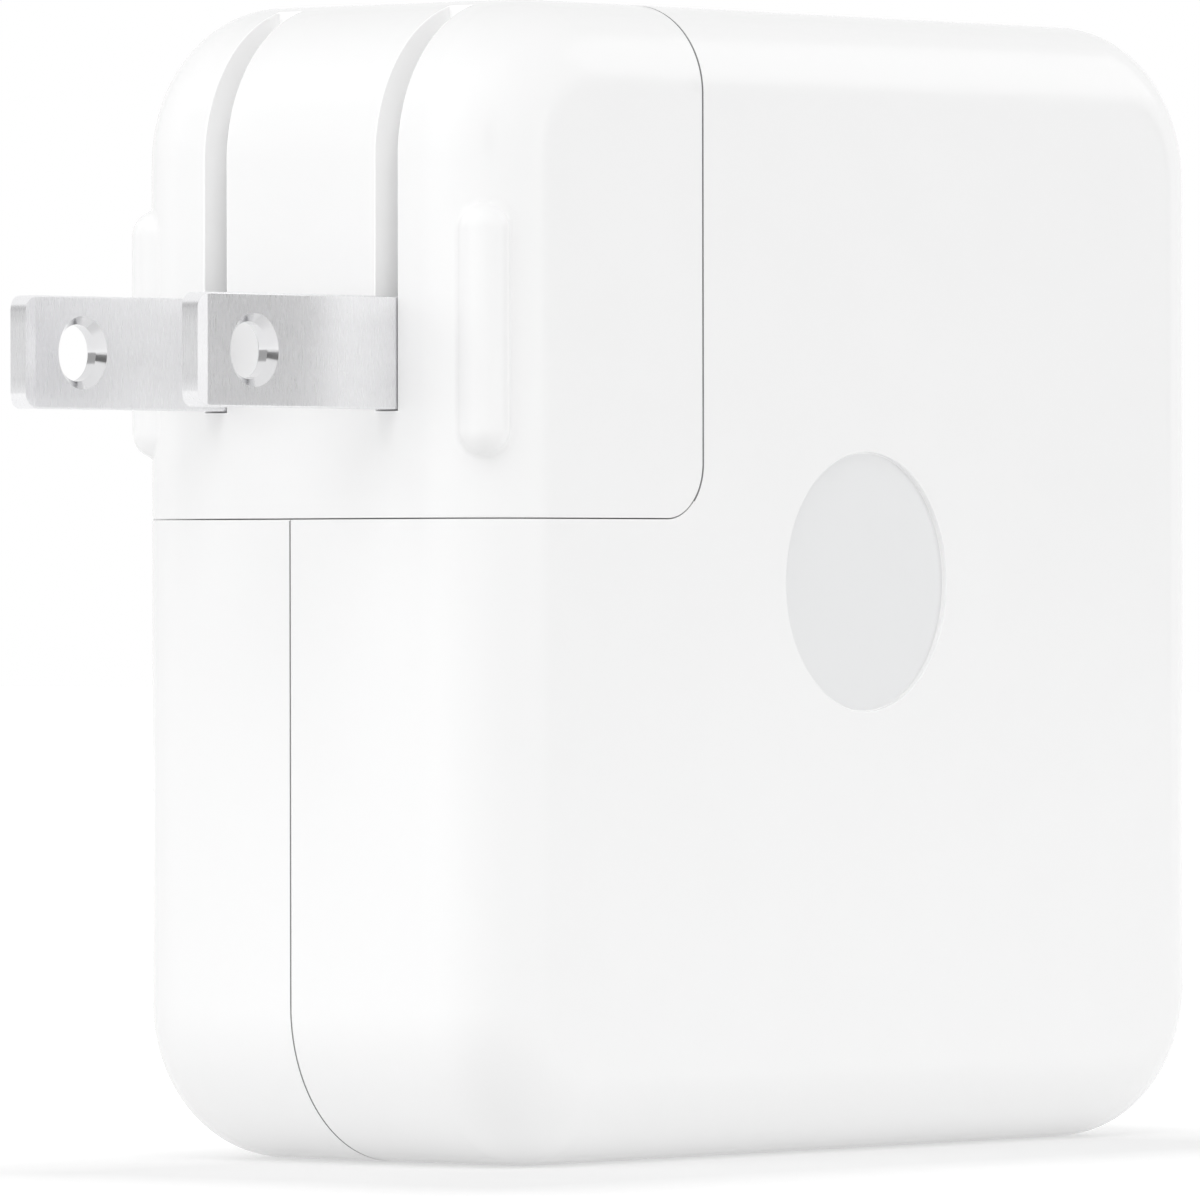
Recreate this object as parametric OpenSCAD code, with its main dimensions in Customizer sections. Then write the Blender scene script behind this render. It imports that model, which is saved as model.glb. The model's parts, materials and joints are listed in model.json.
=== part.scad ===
// Laptop power adapter: a soft-cornered block that stands on a narrow face, with a
// slide-off wall plug in its upper corner and two blades that fold into the plug.
// Its pieces are drawn with x from the plug face, y from the middle of its thickness and z from
// the base.

/* [Case] */
// Length from the plug face to the rear face
case_l = 68; // [62:0.5:80]
// Thickness between the two broad sides
case_t = 28; // [27:0.5:32]
// Height above the narrow face that it stands on
case_h = 66; // [64:0.5:80]
// Radius of the four corners, seen from a broad side
corner_r = 9.1; // [8:0.1:10]
// Radius of the edges round both broad sides
edge_r = 5.2; // [3.6:0.1:5.6]
// Wall of the case
wall = 2; // [1.6:0.1:2.4]
// Distance of the parting line from the middle, towards the far side
parting_y = 0.8; // [0:0.1:1.5]
// Height of the tongue that locates one half in the other
tongue_h = 1.2; // [0.8:0.1:2]
// Thickness of that tongue
tongue_t = 0.8; // [0.6:0.1:1]
// Clearance between pieces that are fitted by hand
fit = 0.1; // [0.05:0.01:0.15]
// Diameter of the plain round recess on the near broad side
recess_d = 15; // [8:0.5:20]
// Depth of that recess
recess_depth = 0.3; // [0.1:0.05:0.6]

/* [Wall plug] */
// Length of the plug along the blades
plug_l = 18.9; // [18:0.1:24]
// Height of the plug
plug_h = 29.4; // [27:0.1:31]
// Seam between the plug and the case
seam_gap = 0.25; // [0.15:0.05:0.3]
// Radius of the seam's inner corner
seam_r = 3.2; // [2.6:0.1:5]
// Wall of the plug's shell
plug_wall = 1.8; // [1.5:0.1:2.2]
// Thickness of the plug's inner cover
cover_t = 1.8; // [1.4:0.1:2.2]
// Diameter of the raised ribs beside the blades
rib_d = 3; // [2:0.1:3.4]
// Distance from a rib's axis to the middle of the plug
rib_y = 12.1; // [11.6:0.1:12.4]
// Distance from the plug face to a rib's axis
rib_x = 1.65; // [1.4:0.05:2]
// Height of a rib's lower end above the seam
rib_low = 3.5; // [2:0.1:6]
// Length of a rib
rib_l = 14.2; // [8:0.1:15]

/* [Blades] */
// Width of a blade
blade_w = 6.35; // [6:0.05:6.6]
// Thickness of a blade
blade_t = 1.5; // [1.3:0.05:1.7]
// Distance between the blades, centre to centre
blade_pitch = 12.7; // [12.5:0.1:13]
// Length of a blade in front of the plug face
blade_reach = 16.8; // [15:0.1:18.3]
// Height of the blades' centre line above the seam
blade_rise = 9.3; // [8.8:0.1:11]
// Length of the bevel at a blade's tip
bevel_l = 0.65; // [0.3:0.05:1]
// Depth of that bevel on each side
bevel_d = 0.18; // [0.1:0.02:0.3]
// Radius of the tip's two corners
tip_r = 0.9; // [0.4:0.1:1.6]
// Diameter of the hole near the tip
blade_hole_d = 3.2; // [3:0.05:3.4]
// Distance from the tip to the hole's centre
blade_hole_in = 4.6; // [4:0.1:6]
// Countersink round each mouth of the hole
blade_sink = 0.3; // [0.1:0.05:0.4]
// Side clearance of a blade in its slot
slot_fit = 0.06; // [0.04:0.01:0.1]
// Distance from the plug face to the blades' pivot
pivot_in = 3.2; // [3.2:0.05:3.6]
// Diameter of the hub that carries the blades
hub_d = 4; // [3.6:0.1:4.4]
// Diameter of the hub where it passes through a blade
hub_neck_d = 2.4; // [1.8:0.1:2.8]
// Running clearance round the hub
hub_fit = 0.06; // [0.03:0.01:0.09]
// Wall round each slot
slot_wall = 1.2; // [0.8:0.1:1.4]

/* [Inlet and stud] */
// Diameter of the two inlet pins
pin_d = 2.36; // [2.2:0.02:2.5]
// Distance between the inlet pins
pin_pitch = 8.6; // [8.4:0.1:9]
// Free length of an inlet pin
pin_l = 8.5; // [7:0.1:9]
// Depth of the inlet's well
well_depth = 9.3; // [9:0.1:10]
// Diameter of each lobe of the plug's nose
lobe_d = 6.6; // [6:0.1:6.8]
// Width of the nose between its lobes
waist_w = 4.4; // [3:0.1:5]
// Clearance where the plug slides on the case
slide_fit = 0.3; // [0.2:0.05:0.35]
// Wall of the inlet block
inlet_wall = 1; // [0.8:0.1:1.1]
// Thickness of the inlet block below its well
inlet_base = 3.7; // [2:0.1:5]
// Radial clearance of a pin in its socket
socket_fit = 0.05; // [0.03:0.01:0.08]
// Wall of a contact socket
socket_wall = 0.45; // [0.3:0.05:0.6]
// Thickness of the contact strips
strip_t = 0.35; // [0.25:0.05:0.5]
// Width of the contact strips
strip_w = 1.3; // [1:0.1:1.4]
// Diameter of the stud's stem
stud_d = 3.4; // [2.8:0.1:3.6]
// Diameter of the stud's head
stud_head_d = 6.5; // [5.5:0.1:6.6]
// Thickness of the stud's head
stud_head_t = 1.2; // [0.8:0.1:1.6]
// Height of the stud above the seam
stud_rise = 14; // [10:0.5:16]
// Width across the flats of the stud's nut
nut_w = 5.5; // [5:0.1:6]
// Thickness of that nut
nut_t = 2.4; // [1.6:0.1:2.6]

/* [Output port] */
// Long outer size of the port's shell
port_w = 8.94; // [8.8:0.02:9]
// Short outer size of the port's shell
port_t = 3.16; // [3:0.02:3.3]
// Length of the port's shell
port_l = 9; // [7.5:0.1:10.5]
// Sheet thickness of the port's shell
port_sheet = 0.3; // [0.2:0.05:0.3]
// Distance of the port's mouth below the rear face
port_inset = 0.5; // [0.2:0.1:1]
// Width of the port's tongue
lug_w = 6.69; // [6:0.01:6.8]
// Thickness of the port's tongue
lug_t = 0.7; // [0.6:0.02:0.8]
// Length of one board of the port
port_board_l = 11; // [9.5:0.5:12]
// Width of the port's board
port_board_w = 12; // [11:0.5:14]
// Thickness of the port's board
port_board_t = 1; // [0.8:0.1:1.2]

/* [Main board] */
// Thickness of the main board
board_t = 1.2; // [0.8:0.1:1.6]
// Gap between the board's edge and the case
board_gap = 0.8; // [0.5:0.1:1]
// Room for solder behind the board
solder_gap = 1.1; // [0.8:0.1:1.4]
// Thickness of the insulating sheets
sheet_t = 0.3; // [0.2:0.05:0.4]
// Thickness of the metal heat spreaders
spreader_t = 0.4; // [0.3:0.05:0.5]
// Diameter of the posts that carry the board
post_d = 3.5; // [3:0.1:4]
// Gap between neighbouring components
part_gap = 0.9; // [0.5:0.1:1]

/* [Components] */
// Fuse: length, width and height
fuse_size = [8.5, 4, 8];
// Diameter of the varistor's disc
varistor_d = 9; // [7:0.5:10]
// Thickness of that disc
varistor_t = 3.5; // [2.5:0.5:4]
// Suppression capacitor: length, width and height
x_cap_size = [13, 6, 11];
// Outer diameter of the choke's core
choke_d = 13.4; // [12:0.1:14]
// Inner diameter of the choke's core
choke_bore = 7.6; // [6:0.1:8]
// Height of the choke's core
choke_h = 6; // [4:0.5:8]
// Thickness of the choke's windings
choke_wind_t = 0.8; // [0.5:0.1:1]
// Angle that each winding of the choke covers
choke_wind_a = 130; // [90:5:150]
// Bridge rectifier: length, width and height
bridge_size = [6, 6.8, 2.4];
// Diameter of the main capacitor
bulk_d = 16; // [12:0.5:16.5]
// Distance of the main capacitor's closed end from the rear face
bulk_end = 7.5; // [6.5:0.5:12]
// Diameter of the capacitors' and disc parts' wires
wire_d = 0.8; // [0.5:0.1:1]
// Length of the transformer's core across its legs
core_l = 22; // [20:0.5:22.5]
// Length of the core along its centre leg
core_w = 17; // [15:0.5:18]
// Height of the core
core_h = 12; // [9:0.5:12]
// Thickness of the core's outer legs and ends
core_leg = 3.5; // [3:0.1:4]
// Width of the core's centre leg
core_mid = 7; // [6:0.1:7.4]
// Wall of the bobbin
bobbin_wall = 0.7; // [0.5:0.1:0.8]
// Thickness of the transformer's winding
winding_t = 1.8; // [1.2:0.1:2]
// Transistor body: length, thickness and height
transistor_size = [10, 4.4, 15];
// Thickness of the heatsink plates
heatsink_t = 1.5; // [1:0.1:2]
// Height of the heatsink plates above the board
heatsink_h = 17; // [14:0.5:18]
// Distance of the transformer from the board's inner edge
transformer_in = 2.6; // [2.2:0.1:3.4]
// Length of the primary heatsink
primary_sink_l = 16; // [12:0.5:17]
// Length of the secondary heatsink
secondary_sink_l = 12; // [10:0.5:12]
// Switching controller: length, width and height
controller_size = [5, 4, 1.5];
// Optocoupler: length, width and height
opto_size = [6.5, 4.6, 3.5];
// Diameter of the safety capacitor's disc
y_cap_d = 7; // [5:0.5:8]
// Thickness of that disc
y_cap_t = 3; // [2:0.5:4]
// Diameter of the output capacitors
out_cap_d = 6.3; // [5:0.1:6.3]
// Height of the output capacitors
out_cap_h = 11; // [8:0.5:12]
// Thickness of the barrier between primary and secondary
barrier_t = 0.5; // [0.3:0.1:0.8]
// Power delivery chip: length, width and height
chip_size = [5, 5, 0.9];

/* [Hidden] */
$fn = 64;
// reach of cutting bodies past what they cut
past = 1;
seam_z = case_h - plug_h;
seam_x = plug_l;
press_fit = fit / 4;
notch_x = seam_x + seam_gap / 2;
notch_z = seam_z - seam_gap / 2;
inner_y = case_t / 2 - wall;
recess_x = case_l / 2;
recess_z = case_h / 2;
// stack between the board and the far wall
sheet_y = inner_y - spreader_t;
board_back = sheet_y - sheet_t - solder_gap;
board_y = board_back - board_t;
board_edge = wall + board_gap;
board_z = case_h - board_edge;
notch_edge_x = notch_x + board_edge;
// blades, slots and hub
blade_y = blade_pitch / 2;
blade_z = seam_z + blade_rise;
slot_w = blade_t + 2 * slot_fit;
slot_tail = 0.2;
slot_depth = pivot_in + blade_w / 2 + slot_tail;
slot_low = blade_z - blade_w / 2 - slot_tail;
housing_back = slot_depth + slot_wall;
hub_l = blade_pitch + slot_w + 2 * slot_wall + 2 * slot_tail;
hub_flat = hub_d / 2 - slot_tail;
retainer_t = 1.4;
retainer_z = hub_d / 2 + 1;
finger_fit = slot_fit;
spring_t = 0.3;
spring_w = 7;
spring_x = pivot_in + hub_d / 2 + slot_fit;
strip_x = housing_back + slot_tail;
// plug cover, nose and sockets
plug_low = seam_z + seam_gap / 2;
plug_back = seam_x - seam_gap / 2;
inlet_x = plug_l / 2;
well_floor = notch_z - well_depth;
nose_low = well_floor + slide_fit;
socket_r = pin_d / 2 + socket_fit;
socket_out_r = socket_r + socket_wall;
foot_z = plug_low + cover_t;
inlet_r = lobe_d / 2 + slide_fit + inlet_wall;
inlet_l = pin_pitch + 2 * inlet_r;
inlet_low = well_floor - inlet_base;
flange_t = 1.2;
tail_t = 1;
tail_drop = 1.8;
tail_shift = 3.6;
// stud on the notch wall
stud_z = seam_z + stud_rise;
stud_back = plug_back - cover_t - slide_fit;
stud_front = stud_back - stud_head_t;
channel_wall = 0.8;
channel_x = stud_front - slide_fit - channel_wall;
channel_w = stud_head_d + 2 * slide_fit;
channel_top = stud_z + channel_w / 2;
thread_l = wall + nut_t;
// output port
port_z = case_h / 2;
port_mouth = case_l - port_inset;
port_back = port_mouth - port_l;
port_plug = 2;
port_board_x = case_l - wall - fit - port_board_l;
pad_pitch = 0.5;
pad_count = 12;
pad_w = 0.25;
pad_t = 0.08;
pad_l = 4;
header_l = 2.5;
header_w = 10;
// component places: lower left corner, from the plug face and the base
disc_lift = 1.2;
x_cap_at = [board_edge + 4.7, board_edge + part_gap];
fuse_at = [board_edge + part_gap, x_cap_at[1] + x_cap_size[1] + part_gap];
varistor_at = [inlet_x + inlet_r + part_gap, fuse_at[1] + varistor_d / 2 - part_gap];
choke_r = choke_d / 2 + choke_wind_t;
choke_at = [x_cap_at[0] + x_cap_size[0] + part_gap + choke_r, board_edge + part_gap + choke_r];
lead_room = 2.4;
bulk_at = [choke_at[0] + choke_r + lead_room, board_edge + part_gap + bulk_d / 2];
bulk_l = case_l - bulk_end - bulk_at[0];
bung_t = 2;
can_t = 0.4;
bridge_at = [inlet_x + inlet_r + flange_t + 2 * part_gap, choke_at[1] + choke_r + part_gap];
transformer_x = notch_edge_x + transformer_in + core_l / 2;
transformer_z = bulk_at[1] + bulk_d / 2 + lead_room + core_w / 2;
bobbin_r = core_mid / 2 + fit + bobbin_wall;
bobbin_h = core_h / 2 + fit + bobbin_wall;
flange_r = bobbin_r + winding_t + fit;
flange_h = bobbin_h + winding_t + fit;
window_w = core_w - 2 * core_leg;
transformer_h = 2 * flange_h;
barrier_x = transformer_x + core_l / 2 + part_gap;
sink_z = board_z - part_gap - heatsink_t;
rear_room = 4.6;
primary_sink_x = notch_edge_x + 2 * part_gap;
secondary_sink_x = case_l - wall - rear_room - secondary_sink_l;
transistor_z = sink_z - transistor_size[1];
transistor_inset = 4;
leg_l = 3;
leg_w = 0.8;
leg_pitch = 2.54;
controller_at = [primary_sink_x, transformer_z + core_w / 2 + part_gap];
opto_at = [barrier_x + barrier_t - opto_size[0], controller_at[1]];
y_cap_at = [
    primary_sink_x + primary_sink_l + part_gap,
    opto_at[1] + opto_size[1] + part_gap + y_cap_d / 2
];
out_cap_at = [
    barrier_x + barrier_t + part_gap + out_cap_d / 2,
    port_z + (port_board_w + out_cap_d) / 2 + part_gap
];
out_cap_step = out_cap_d + part_gap / 2;
post_places = [
    [corner_r, corner_r],
    [case_l - corner_r, corner_r],
    [case_l - corner_r, case_h - corner_r],
    [notch_edge_x + post_d, case_h - corner_r]
];
sheet_inset = edge_r + fit;

// ---- drawing helpers ----

// moves a sub-part from plug-face coordinates to the frame centred under the case
module placed() {
    translate([-case_l / 2, 0, 0])
        children();
}

// a flat shape in x and z, given thickness from y0 to y1
module slab(y0, y1) {
    translate([0, y1, 0])
        rotate([90, 0, 0])
            linear_extrude(y1 - y0)
                children();
}

// a flat shape in y and z, given length from x0 to x1
module run(x0, x1) {
    translate([x0, 0, 0])
        rotate([90, 0, 90])
            linear_extrude(x1 - x0)
                children();
}

// stands a sub-part on the board: its own z is the height above the board
module on_board(x, z) {
    translate([x, board_y, z])
        rotate([90, 0, 0])
            children();
}

// a cylinder along y, centred on y = 0
module cross_rod(r, l) {
    rotate([90, 0, 0])
        cylinder(h = l, r = r, center = true);
}

module quarter_disc(r) {
    intersection() {
        circle(r);
        square(r);
    }
}

// rectangle w by h, centred, with true quarter-round corners
module round_rect(w, h, r) {
    square([w, h - 2 * r], center = true);
    for (flip = [0, 1])
        mirror([0, flip]) {
            translate([-w / 2 + r, h / 2 - r])
                square([w - 2 * r, r]);
            for (side = [0, 1])
                mirror([side, 0])
                    translate([w / 2 - r, h / 2 - r])
                        quarter_disc(r);
        }
}

// a rectangle with fully round ends, long along the second axis
module stadium(w, l) {
    square([w, l - w], center = true);
    for (flip = [0, 1])
        mirror([0, flip])
            translate([0, (l - w) / 2])
                intersection() {
                    circle(w / 2);
                    translate([-w / 2, 0])
                        square([w, w / 2]);
                }
}

// two round lobes joined by a waist, long along the second axis
module figure_eight(r, waist) {
    for (side = [-1, 1])
        translate([0, side * pin_pitch / 2])
            circle(r);
    square([waist, pin_pitch], center = true);
}

// ---- shared forms of the case and the plug ----

// block with round corners and round edges, drawn smaller by inset all round
module soft_box(inset) {
    l = case_l - 2 * inset;
    t = case_t - 2 * inset;
    h = case_h - 2 * inset;
    corner = corner_r - inset;
    edge = edge_r - inset;
    translate([case_l / 2, 0, case_h / 2]) {
        cube([l - 2 * edge, t - 2 * edge, h - 2 * edge], center = true);
        translate([0, 0, corner - h / 2])
            linear_extrude(h - 2 * corner)
                round_rect(l, t, edge);
        for (flip = [0, 1])
            mirror([0, 0, flip]) {
                run(corner - l / 2, l / 2 - corner)
                    intersection() {
                        round_rect(t, h, edge);
                        translate([-t / 2, h / 2 - corner])
                            square([t, corner]);
                    }
                for (side = [0, 1])
                    mirror([side, 0, 0])
                        translate([l / 2 - corner, 0, h / 2 - corner])
                            rotate([90, 0, 0])
                                rotate_extrude(angle = 90)
                                    intersection() {
                                        round_rect(2 * corner, t, edge);
                                        translate([0, -t / 2])
                                            square([corner, t]);
                                    }
            }
    }
}

// the corner region that the plug takes, grown past the seam by grow
module notch_outline(grow) {
    r = seam_r + grow;
    translate([-past, seam_z - grow + r])
        square([seam_x + grow + past, case_h]);
    translate([-past, seam_z - grow])
        square([seam_x + grow - r + past, r]);
    translate([seam_x + grow - r, seam_z - grow + r])
        mirror([0, 1])
            quarter_disc(r);
}

// the case seen from a broad side, without the plug's corner
module case_outline(inset) {
    difference() {
        translate([case_l / 2, case_h / 2])
            round_rect(case_l - 2 * inset, case_h - 2 * inset, corner_r - inset);
        notch_outline(seam_gap / 2 + inset);
    }
}

module case_walls() {
    difference() {
        soft_box(0);
        slab(-case_t, case_t)
            notch_outline(seam_gap / 2);
        difference() {
            soft_box(wall);
            slab(-case_t, case_t)
                notch_outline(seam_gap / 2 + wall);
        }
    }
}

// what passes through the case: the inlet, the stud and the output port
module case_openings() {
    translate([inlet_x, 0, notch_z - wall / 2])
        cube([2 * (inlet_r + fit), inlet_l + 2 * fit, wall + 2 * past], center = true);
    translate([notch_x - past, 0, stud_z])
        rotate([0, 90, 0])
            cylinder(h = wall + 2 * past, r = stud_d / 2 + fit);
    translate([0, 0, port_z])
        run(case_l - wall - past, case_l + past)
            stadium(port_t + 2 * fit, port_w + 2 * fit);
}

module half_space(side) {
    translate([-past, parting_y - (side < 0 ? case_t : 0), -past])
        cube([case_l + 2 * past, case_t, case_h + 2 * past]);
}

// ---- case ----

module case_near() {
    color("white")
        difference() {
            union() {
                intersection() {
                    case_walls();
                    half_space(-1);
                }
                slab(parting_y, parting_y + tongue_h)
                    difference() {
                        case_outline(wall - tongue_t);
                        case_outline(wall);
                    }
            }
            case_openings();
            translate([recess_x, recess_depth - case_t / 2, recess_z])
                rotate([90, 0, 0])
                    cylinder(h = recess_depth + past, r = recess_d / 2);
        }
}

module case_far() {
    color("white") {
        difference() {
            intersection() {
                case_walls();
                half_space(1);
            }
            slab(parting_y - past, parting_y + tongue_h + fit)
                difference() {
                    case_outline(wall - tongue_t - fit);
                    case_outline(wall);
                }
            case_openings();
        }
        for (at = post_places)
            translate([at[0], inner_y + wall / 2, at[1]])
                rotate([90, 0, 0])
                    cylinder(h = inner_y + wall / 2 - board_back, r = post_d / 2);
    }
}

// ---- wall plug ----

module rib() {
    r = rib_d / 2;
    translate([rib_x, 0, seam_z + rib_low + r]) {
        cylinder(h = rib_l - rib_d, r = r);
        sphere(r);
        translate([0, 0, rib_l - rib_d])
            sphere(r);
    }
}

module plug_shell() {
    color("white")
        difference() {
            union() {
                difference() {
                    union() {
                        intersection() {
                            soft_box(0);
                            slab(-case_t, case_t)
                                notch_outline(-seam_gap / 2);
                        }
                        for (side = [-1, 1])
                            translate([0, side * rib_y, 0])
                                rib();
                    }
                    soft_box(plug_wall);
                }
                intersection() {
                    soft_box(plug_wall / 2);
                    for (side = [-1, 1])
                        translate([0, side * blade_y - slot_w / 2 - slot_wall, slot_low - slot_wall])
                            cube([housing_back, slot_w + 2 * slot_wall, case_h]);
                }
            }
            for (side = [-1, 1])
                translate([0, side * blade_y, 0]) {
                    translate([-past, -slot_w / 2, slot_low])
                        cube([slot_depth + past, slot_w, case_h]);
                    translate([slot_depth - past, -slot_w / 2, slot_low])
                        cube([slot_wall + 2 * past, slot_w, 2 * (blade_z - slot_low)]);
                }
            translate([pivot_in, 0, blade_z]) {
                cross_rod(hub_d / 2 + hub_fit, hub_l + 2 * hub_fit);
                translate([0, -hub_l / 2 - hub_fit, -hub_d / 2 - hub_fit])
                    cube([slot_depth + past, hub_l + 2 * hub_fit, hub_d + 2 * hub_fit]);
            }
        }
}

// nose, channel for the stud's head and the two plates that close the plug
module plug_cover() {
    color("whitesmoke")
        difference() {
            union() {
                intersection() {
                    slab(-case_t, case_t)
                        difference() {
                            notch_outline(-seam_gap / 2);
                            notch_outline(-seam_gap / 2 - cover_t);
                        }
                    soft_box(plug_wall + fit);
                }
                translate([inlet_x, 0, nose_low])
                    linear_extrude(foot_z - nose_low)
                        figure_eight(lobe_d / 2, waist_w);
                translate([channel_x, -channel_w / 2 - channel_wall, plug_low + cover_t / 2])
                    cube([
                        plug_back - cover_t / 2 - channel_x,
                        channel_w + 2 * channel_wall,
                        channel_top + channel_wall - plug_low - cover_t / 2
                    ]);
            }
            for (side = [-1, 1])
                translate([inlet_x, side * pin_pitch / 2, nose_low - past])
                    cylinder(h = foot_z - nose_low + 2 * past, r = socket_out_r + socket_fit);
            translate([channel_x + channel_wall, -channel_w / 2, plug_low - past])
                cube([
                    stud_back + slide_fit - channel_x - channel_wall,
                    channel_w,
                    channel_top - plug_low + past
                ]);
            translate([stud_back, -stud_d / 2 - slide_fit, plug_low - past])
                cube([cover_t + 3 * past, stud_d + 2 * slide_fit, stud_z - plug_low + past]);
            translate([stud_back, 0, stud_z])
                rotate([0, 90, 0])
                    cylinder(h = cover_t + 3 * past, r = stud_d / 2 + slide_fit);
        }
}

module blade_outline() {
    reach = pivot_in + blade_reach;
    circle(blade_w / 2);
    translate([tip_r - reach, -blade_w / 2])
        square([reach - tip_r, blade_w]);
    translate([-reach, tip_r - blade_w / 2])
        square([tip_r, blade_w - 2 * tip_r]);
    for (flip = [0, 1])
        mirror([0, flip])
            translate([tip_r - reach, blade_w / 2 - tip_r])
                mirror([1, 0])
                    quarter_disc(tip_r);
}

module blade(side) {
    tip = -pivot_in - blade_reach;
    color("silver")
        translate([pivot_in, side * blade_y, blade_z])
            difference() {
                slab(-blade_t / 2, blade_t / 2)
                    blade_outline();
                cross_rod(hub_neck_d / 2 + press_fit, 2 * blade_t);
                for (flip = [0, 1])
                    mirror([0, flip, 0]) {
                        translate([0, 0, -blade_w])
                            linear_extrude(2 * blade_w)
                                polygon([
                                    [tip - past, blade_t / 2 - bevel_d - past * bevel_d / bevel_l],
                                    [tip + bevel_l, blade_t / 2],
                                    [tip + bevel_l, blade_t],
                                    [tip - past, blade_t]
                                ]);
                        translate([tip + blade_hole_in, blade_t / 2 - blade_sink, 0])
                            rotate([-90, 0, 0])
                                cylinder(
                                    h = 2 * blade_sink,
                                    r1 = blade_hole_d / 2,
                                    r2 = blade_hole_d / 2 + 2 * blade_sink
                                );
                    }
                translate([tip + blade_hole_in, 0, 0])
                    cross_rod(blade_hole_d / 2, 2 * blade_t);
            }
}

module blade_near() {
    blade(-1);
}

module blade_far() {
    blade(1);
}

// rod that the blades are moulded onto, with two flats for the detent spring
module blade_hub() {
    color("dimgray")
        translate([pivot_in, 0, blade_z])
            difference() {
                cross_rod(hub_d / 2, hub_l);
                for (side = [-1, 1])
                    translate([0, side * blade_y, 0])
                        difference() {
                            cross_rod(hub_d, blade_t);
                            cross_rod(hub_neck_d / 2, 2 * blade_t);
                        }
                translate([hub_flat, -spring_w / 2 - slot_tail, -hub_d])
                    cube([hub_d, spring_w + 2 * slot_tail, 2 * hub_d]);
                translate([-hub_d, -spring_w / 2 - slot_tail, hub_flat])
                    cube([2 * hub_d, spring_w + 2 * slot_tail, hub_d]);
            }
}

// closes the open side of the hub's four saddles from behind
module hub_retainer() {
    cut_w = strip_w + 4 * slot_tail;
    color("gainsboro")
        difference() {
            union() {
                translate([housing_back, -hub_l / 2, blade_z - retainer_z])
                    cube([retainer_t, hub_l, 2 * retainer_z]);
                for (side = [-1, 1], wall_side = [-1, 1])
                    translate([
                        pivot_in,
                        side * blade_y + wall_side * (slot_w + slot_wall) / 2 - slot_wall / 2 + finger_fit,
                        blade_z - hub_d / 2
                    ])
                        cube([housing_back - pivot_in, slot_wall - 2 * finger_fit, hub_d]);
            }
            translate([pivot_in, 0, blade_z])
                cross_rod(hub_d / 2 + hub_fit, 2 * hub_l);
            for (side = [-1, 1])
                translate([housing_back - past, side * blade_y - cut_w / 2, blade_z - retainer_z - past])
                    cube([retainer_t + 2 * past, cut_w, retainer_z + past + strip_w]);
        }
}

// leaf that rests on a flat of the hub and holds the blades open or shut
module detent_spring() {
    color("lightsteelblue")
        translate([spring_x, -spring_w / 2, blade_z - retainer_z + spring_t]) {
            cube([spring_t, spring_w, 2 * (retainer_z - spring_t)]);
            for (z = [0, 2 * retainer_z - 3 * spring_t])
                translate([0, 0, z])
                    cube([housing_back - spring_x, spring_w, spring_t]);
        }
}

// socket for an inlet pin, foot on the cover and strip up to the blade's root
module plug_contact() {
    finger_h = 1;
    strip_y = blade_y - strip_w / 2;
    color("goldenrod")
        difference() {
            union() {
                translate([inlet_x, pin_pitch / 2, nose_low])
                    cylinder(h = foot_z + strip_t - nose_low, r = socket_out_r);
                translate([strip_x, pin_pitch / 2, foot_z])
                    cube([inlet_x - strip_x, strip_y + strip_w - pin_pitch / 2, strip_t]);
                translate([strip_x, strip_y, foot_z])
                    cube([strip_t, strip_w, blade_z + finger_h - foot_z]);
                translate([slot_depth - slot_tail / 2, strip_y, blade_z - finger_h / 2])
                    cube([strip_x - slot_depth + slot_tail, strip_w, finger_h]);
            }
            translate([inlet_x, pin_pitch / 2, nose_low - past])
                cylinder(h = foot_z - nose_low + past, r = socket_r);
        }
}

module plug_contact_near() {
    mirror([0, 1, 0])
        plug_contact();
}

module plug_contact_far() {
    plug_contact();
}

// ---- inlet and stud ----

module inlet_block() {
    color("dimgray")
        difference() {
            translate([inlet_x, 0, 0]) {
                translate([-inlet_r, -inlet_l / 2, inlet_low])
                    cube([2 * inlet_r, inlet_l, notch_z - inlet_low]);
                translate([-inlet_r - flange_t, -inlet_l / 2, notch_z - wall - flange_t])
                    cube([2 * (inlet_r + flange_t), inlet_l, flange_t]);
            }
            translate([inlet_x, 0, well_floor])
                linear_extrude(well_depth + past)
                    figure_eight(lobe_d / 2 + slide_fit, waist_w + 2 * slide_fit);
            for (side = [-1, 1])
                translate([inlet_x, side * pin_pitch / 2, inlet_low - past])
                    cylinder(h = inlet_base + 2 * past, r = pin_d / 2 + press_fit);
        }
}

// round pin with a flat tail that steps aside by shift and turns to the board
module inlet_pin(side, shift) {
    y = side * pin_pitch / 2;
    tail_x = inlet_x - shift - tail_t / 2;
    tail_z = inlet_low - tail_drop;
    color("gold") {
        translate([inlet_x, y, inlet_low])
            cylinder(h = well_floor + pin_l - inlet_low, r = pin_d / 2);
        translate([inlet_x - tail_t / 2, y - tail_t / 2, tail_z])
            cube([tail_t, tail_t, tail_drop]);
        translate([tail_x, y - tail_t / 2, tail_z])
            cube([shift + tail_t, tail_t, tail_t]);
        translate([tail_x, y - tail_t / 2, tail_z])
            cube([tail_t, board_y - y + tail_t / 2, tail_t]);
    }
}

// its tail passes beside the far pin
module inlet_pin_near() {
    inlet_pin(-1, tail_shift);
}

module inlet_pin_far() {
    inlet_pin(1, 0);
}

module retention_stud() {
    color("silver")
        translate([0, 0, stud_z])
            rotate([0, 90, 0]) {
                translate([0, 0, stud_front])
                    cylinder(h = stud_head_t, r = stud_head_d / 2);
                translate([0, 0, stud_front])
                    cylinder(h = notch_x - stud_front + thread_l, r = stud_d / 2);
            }
}

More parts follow.
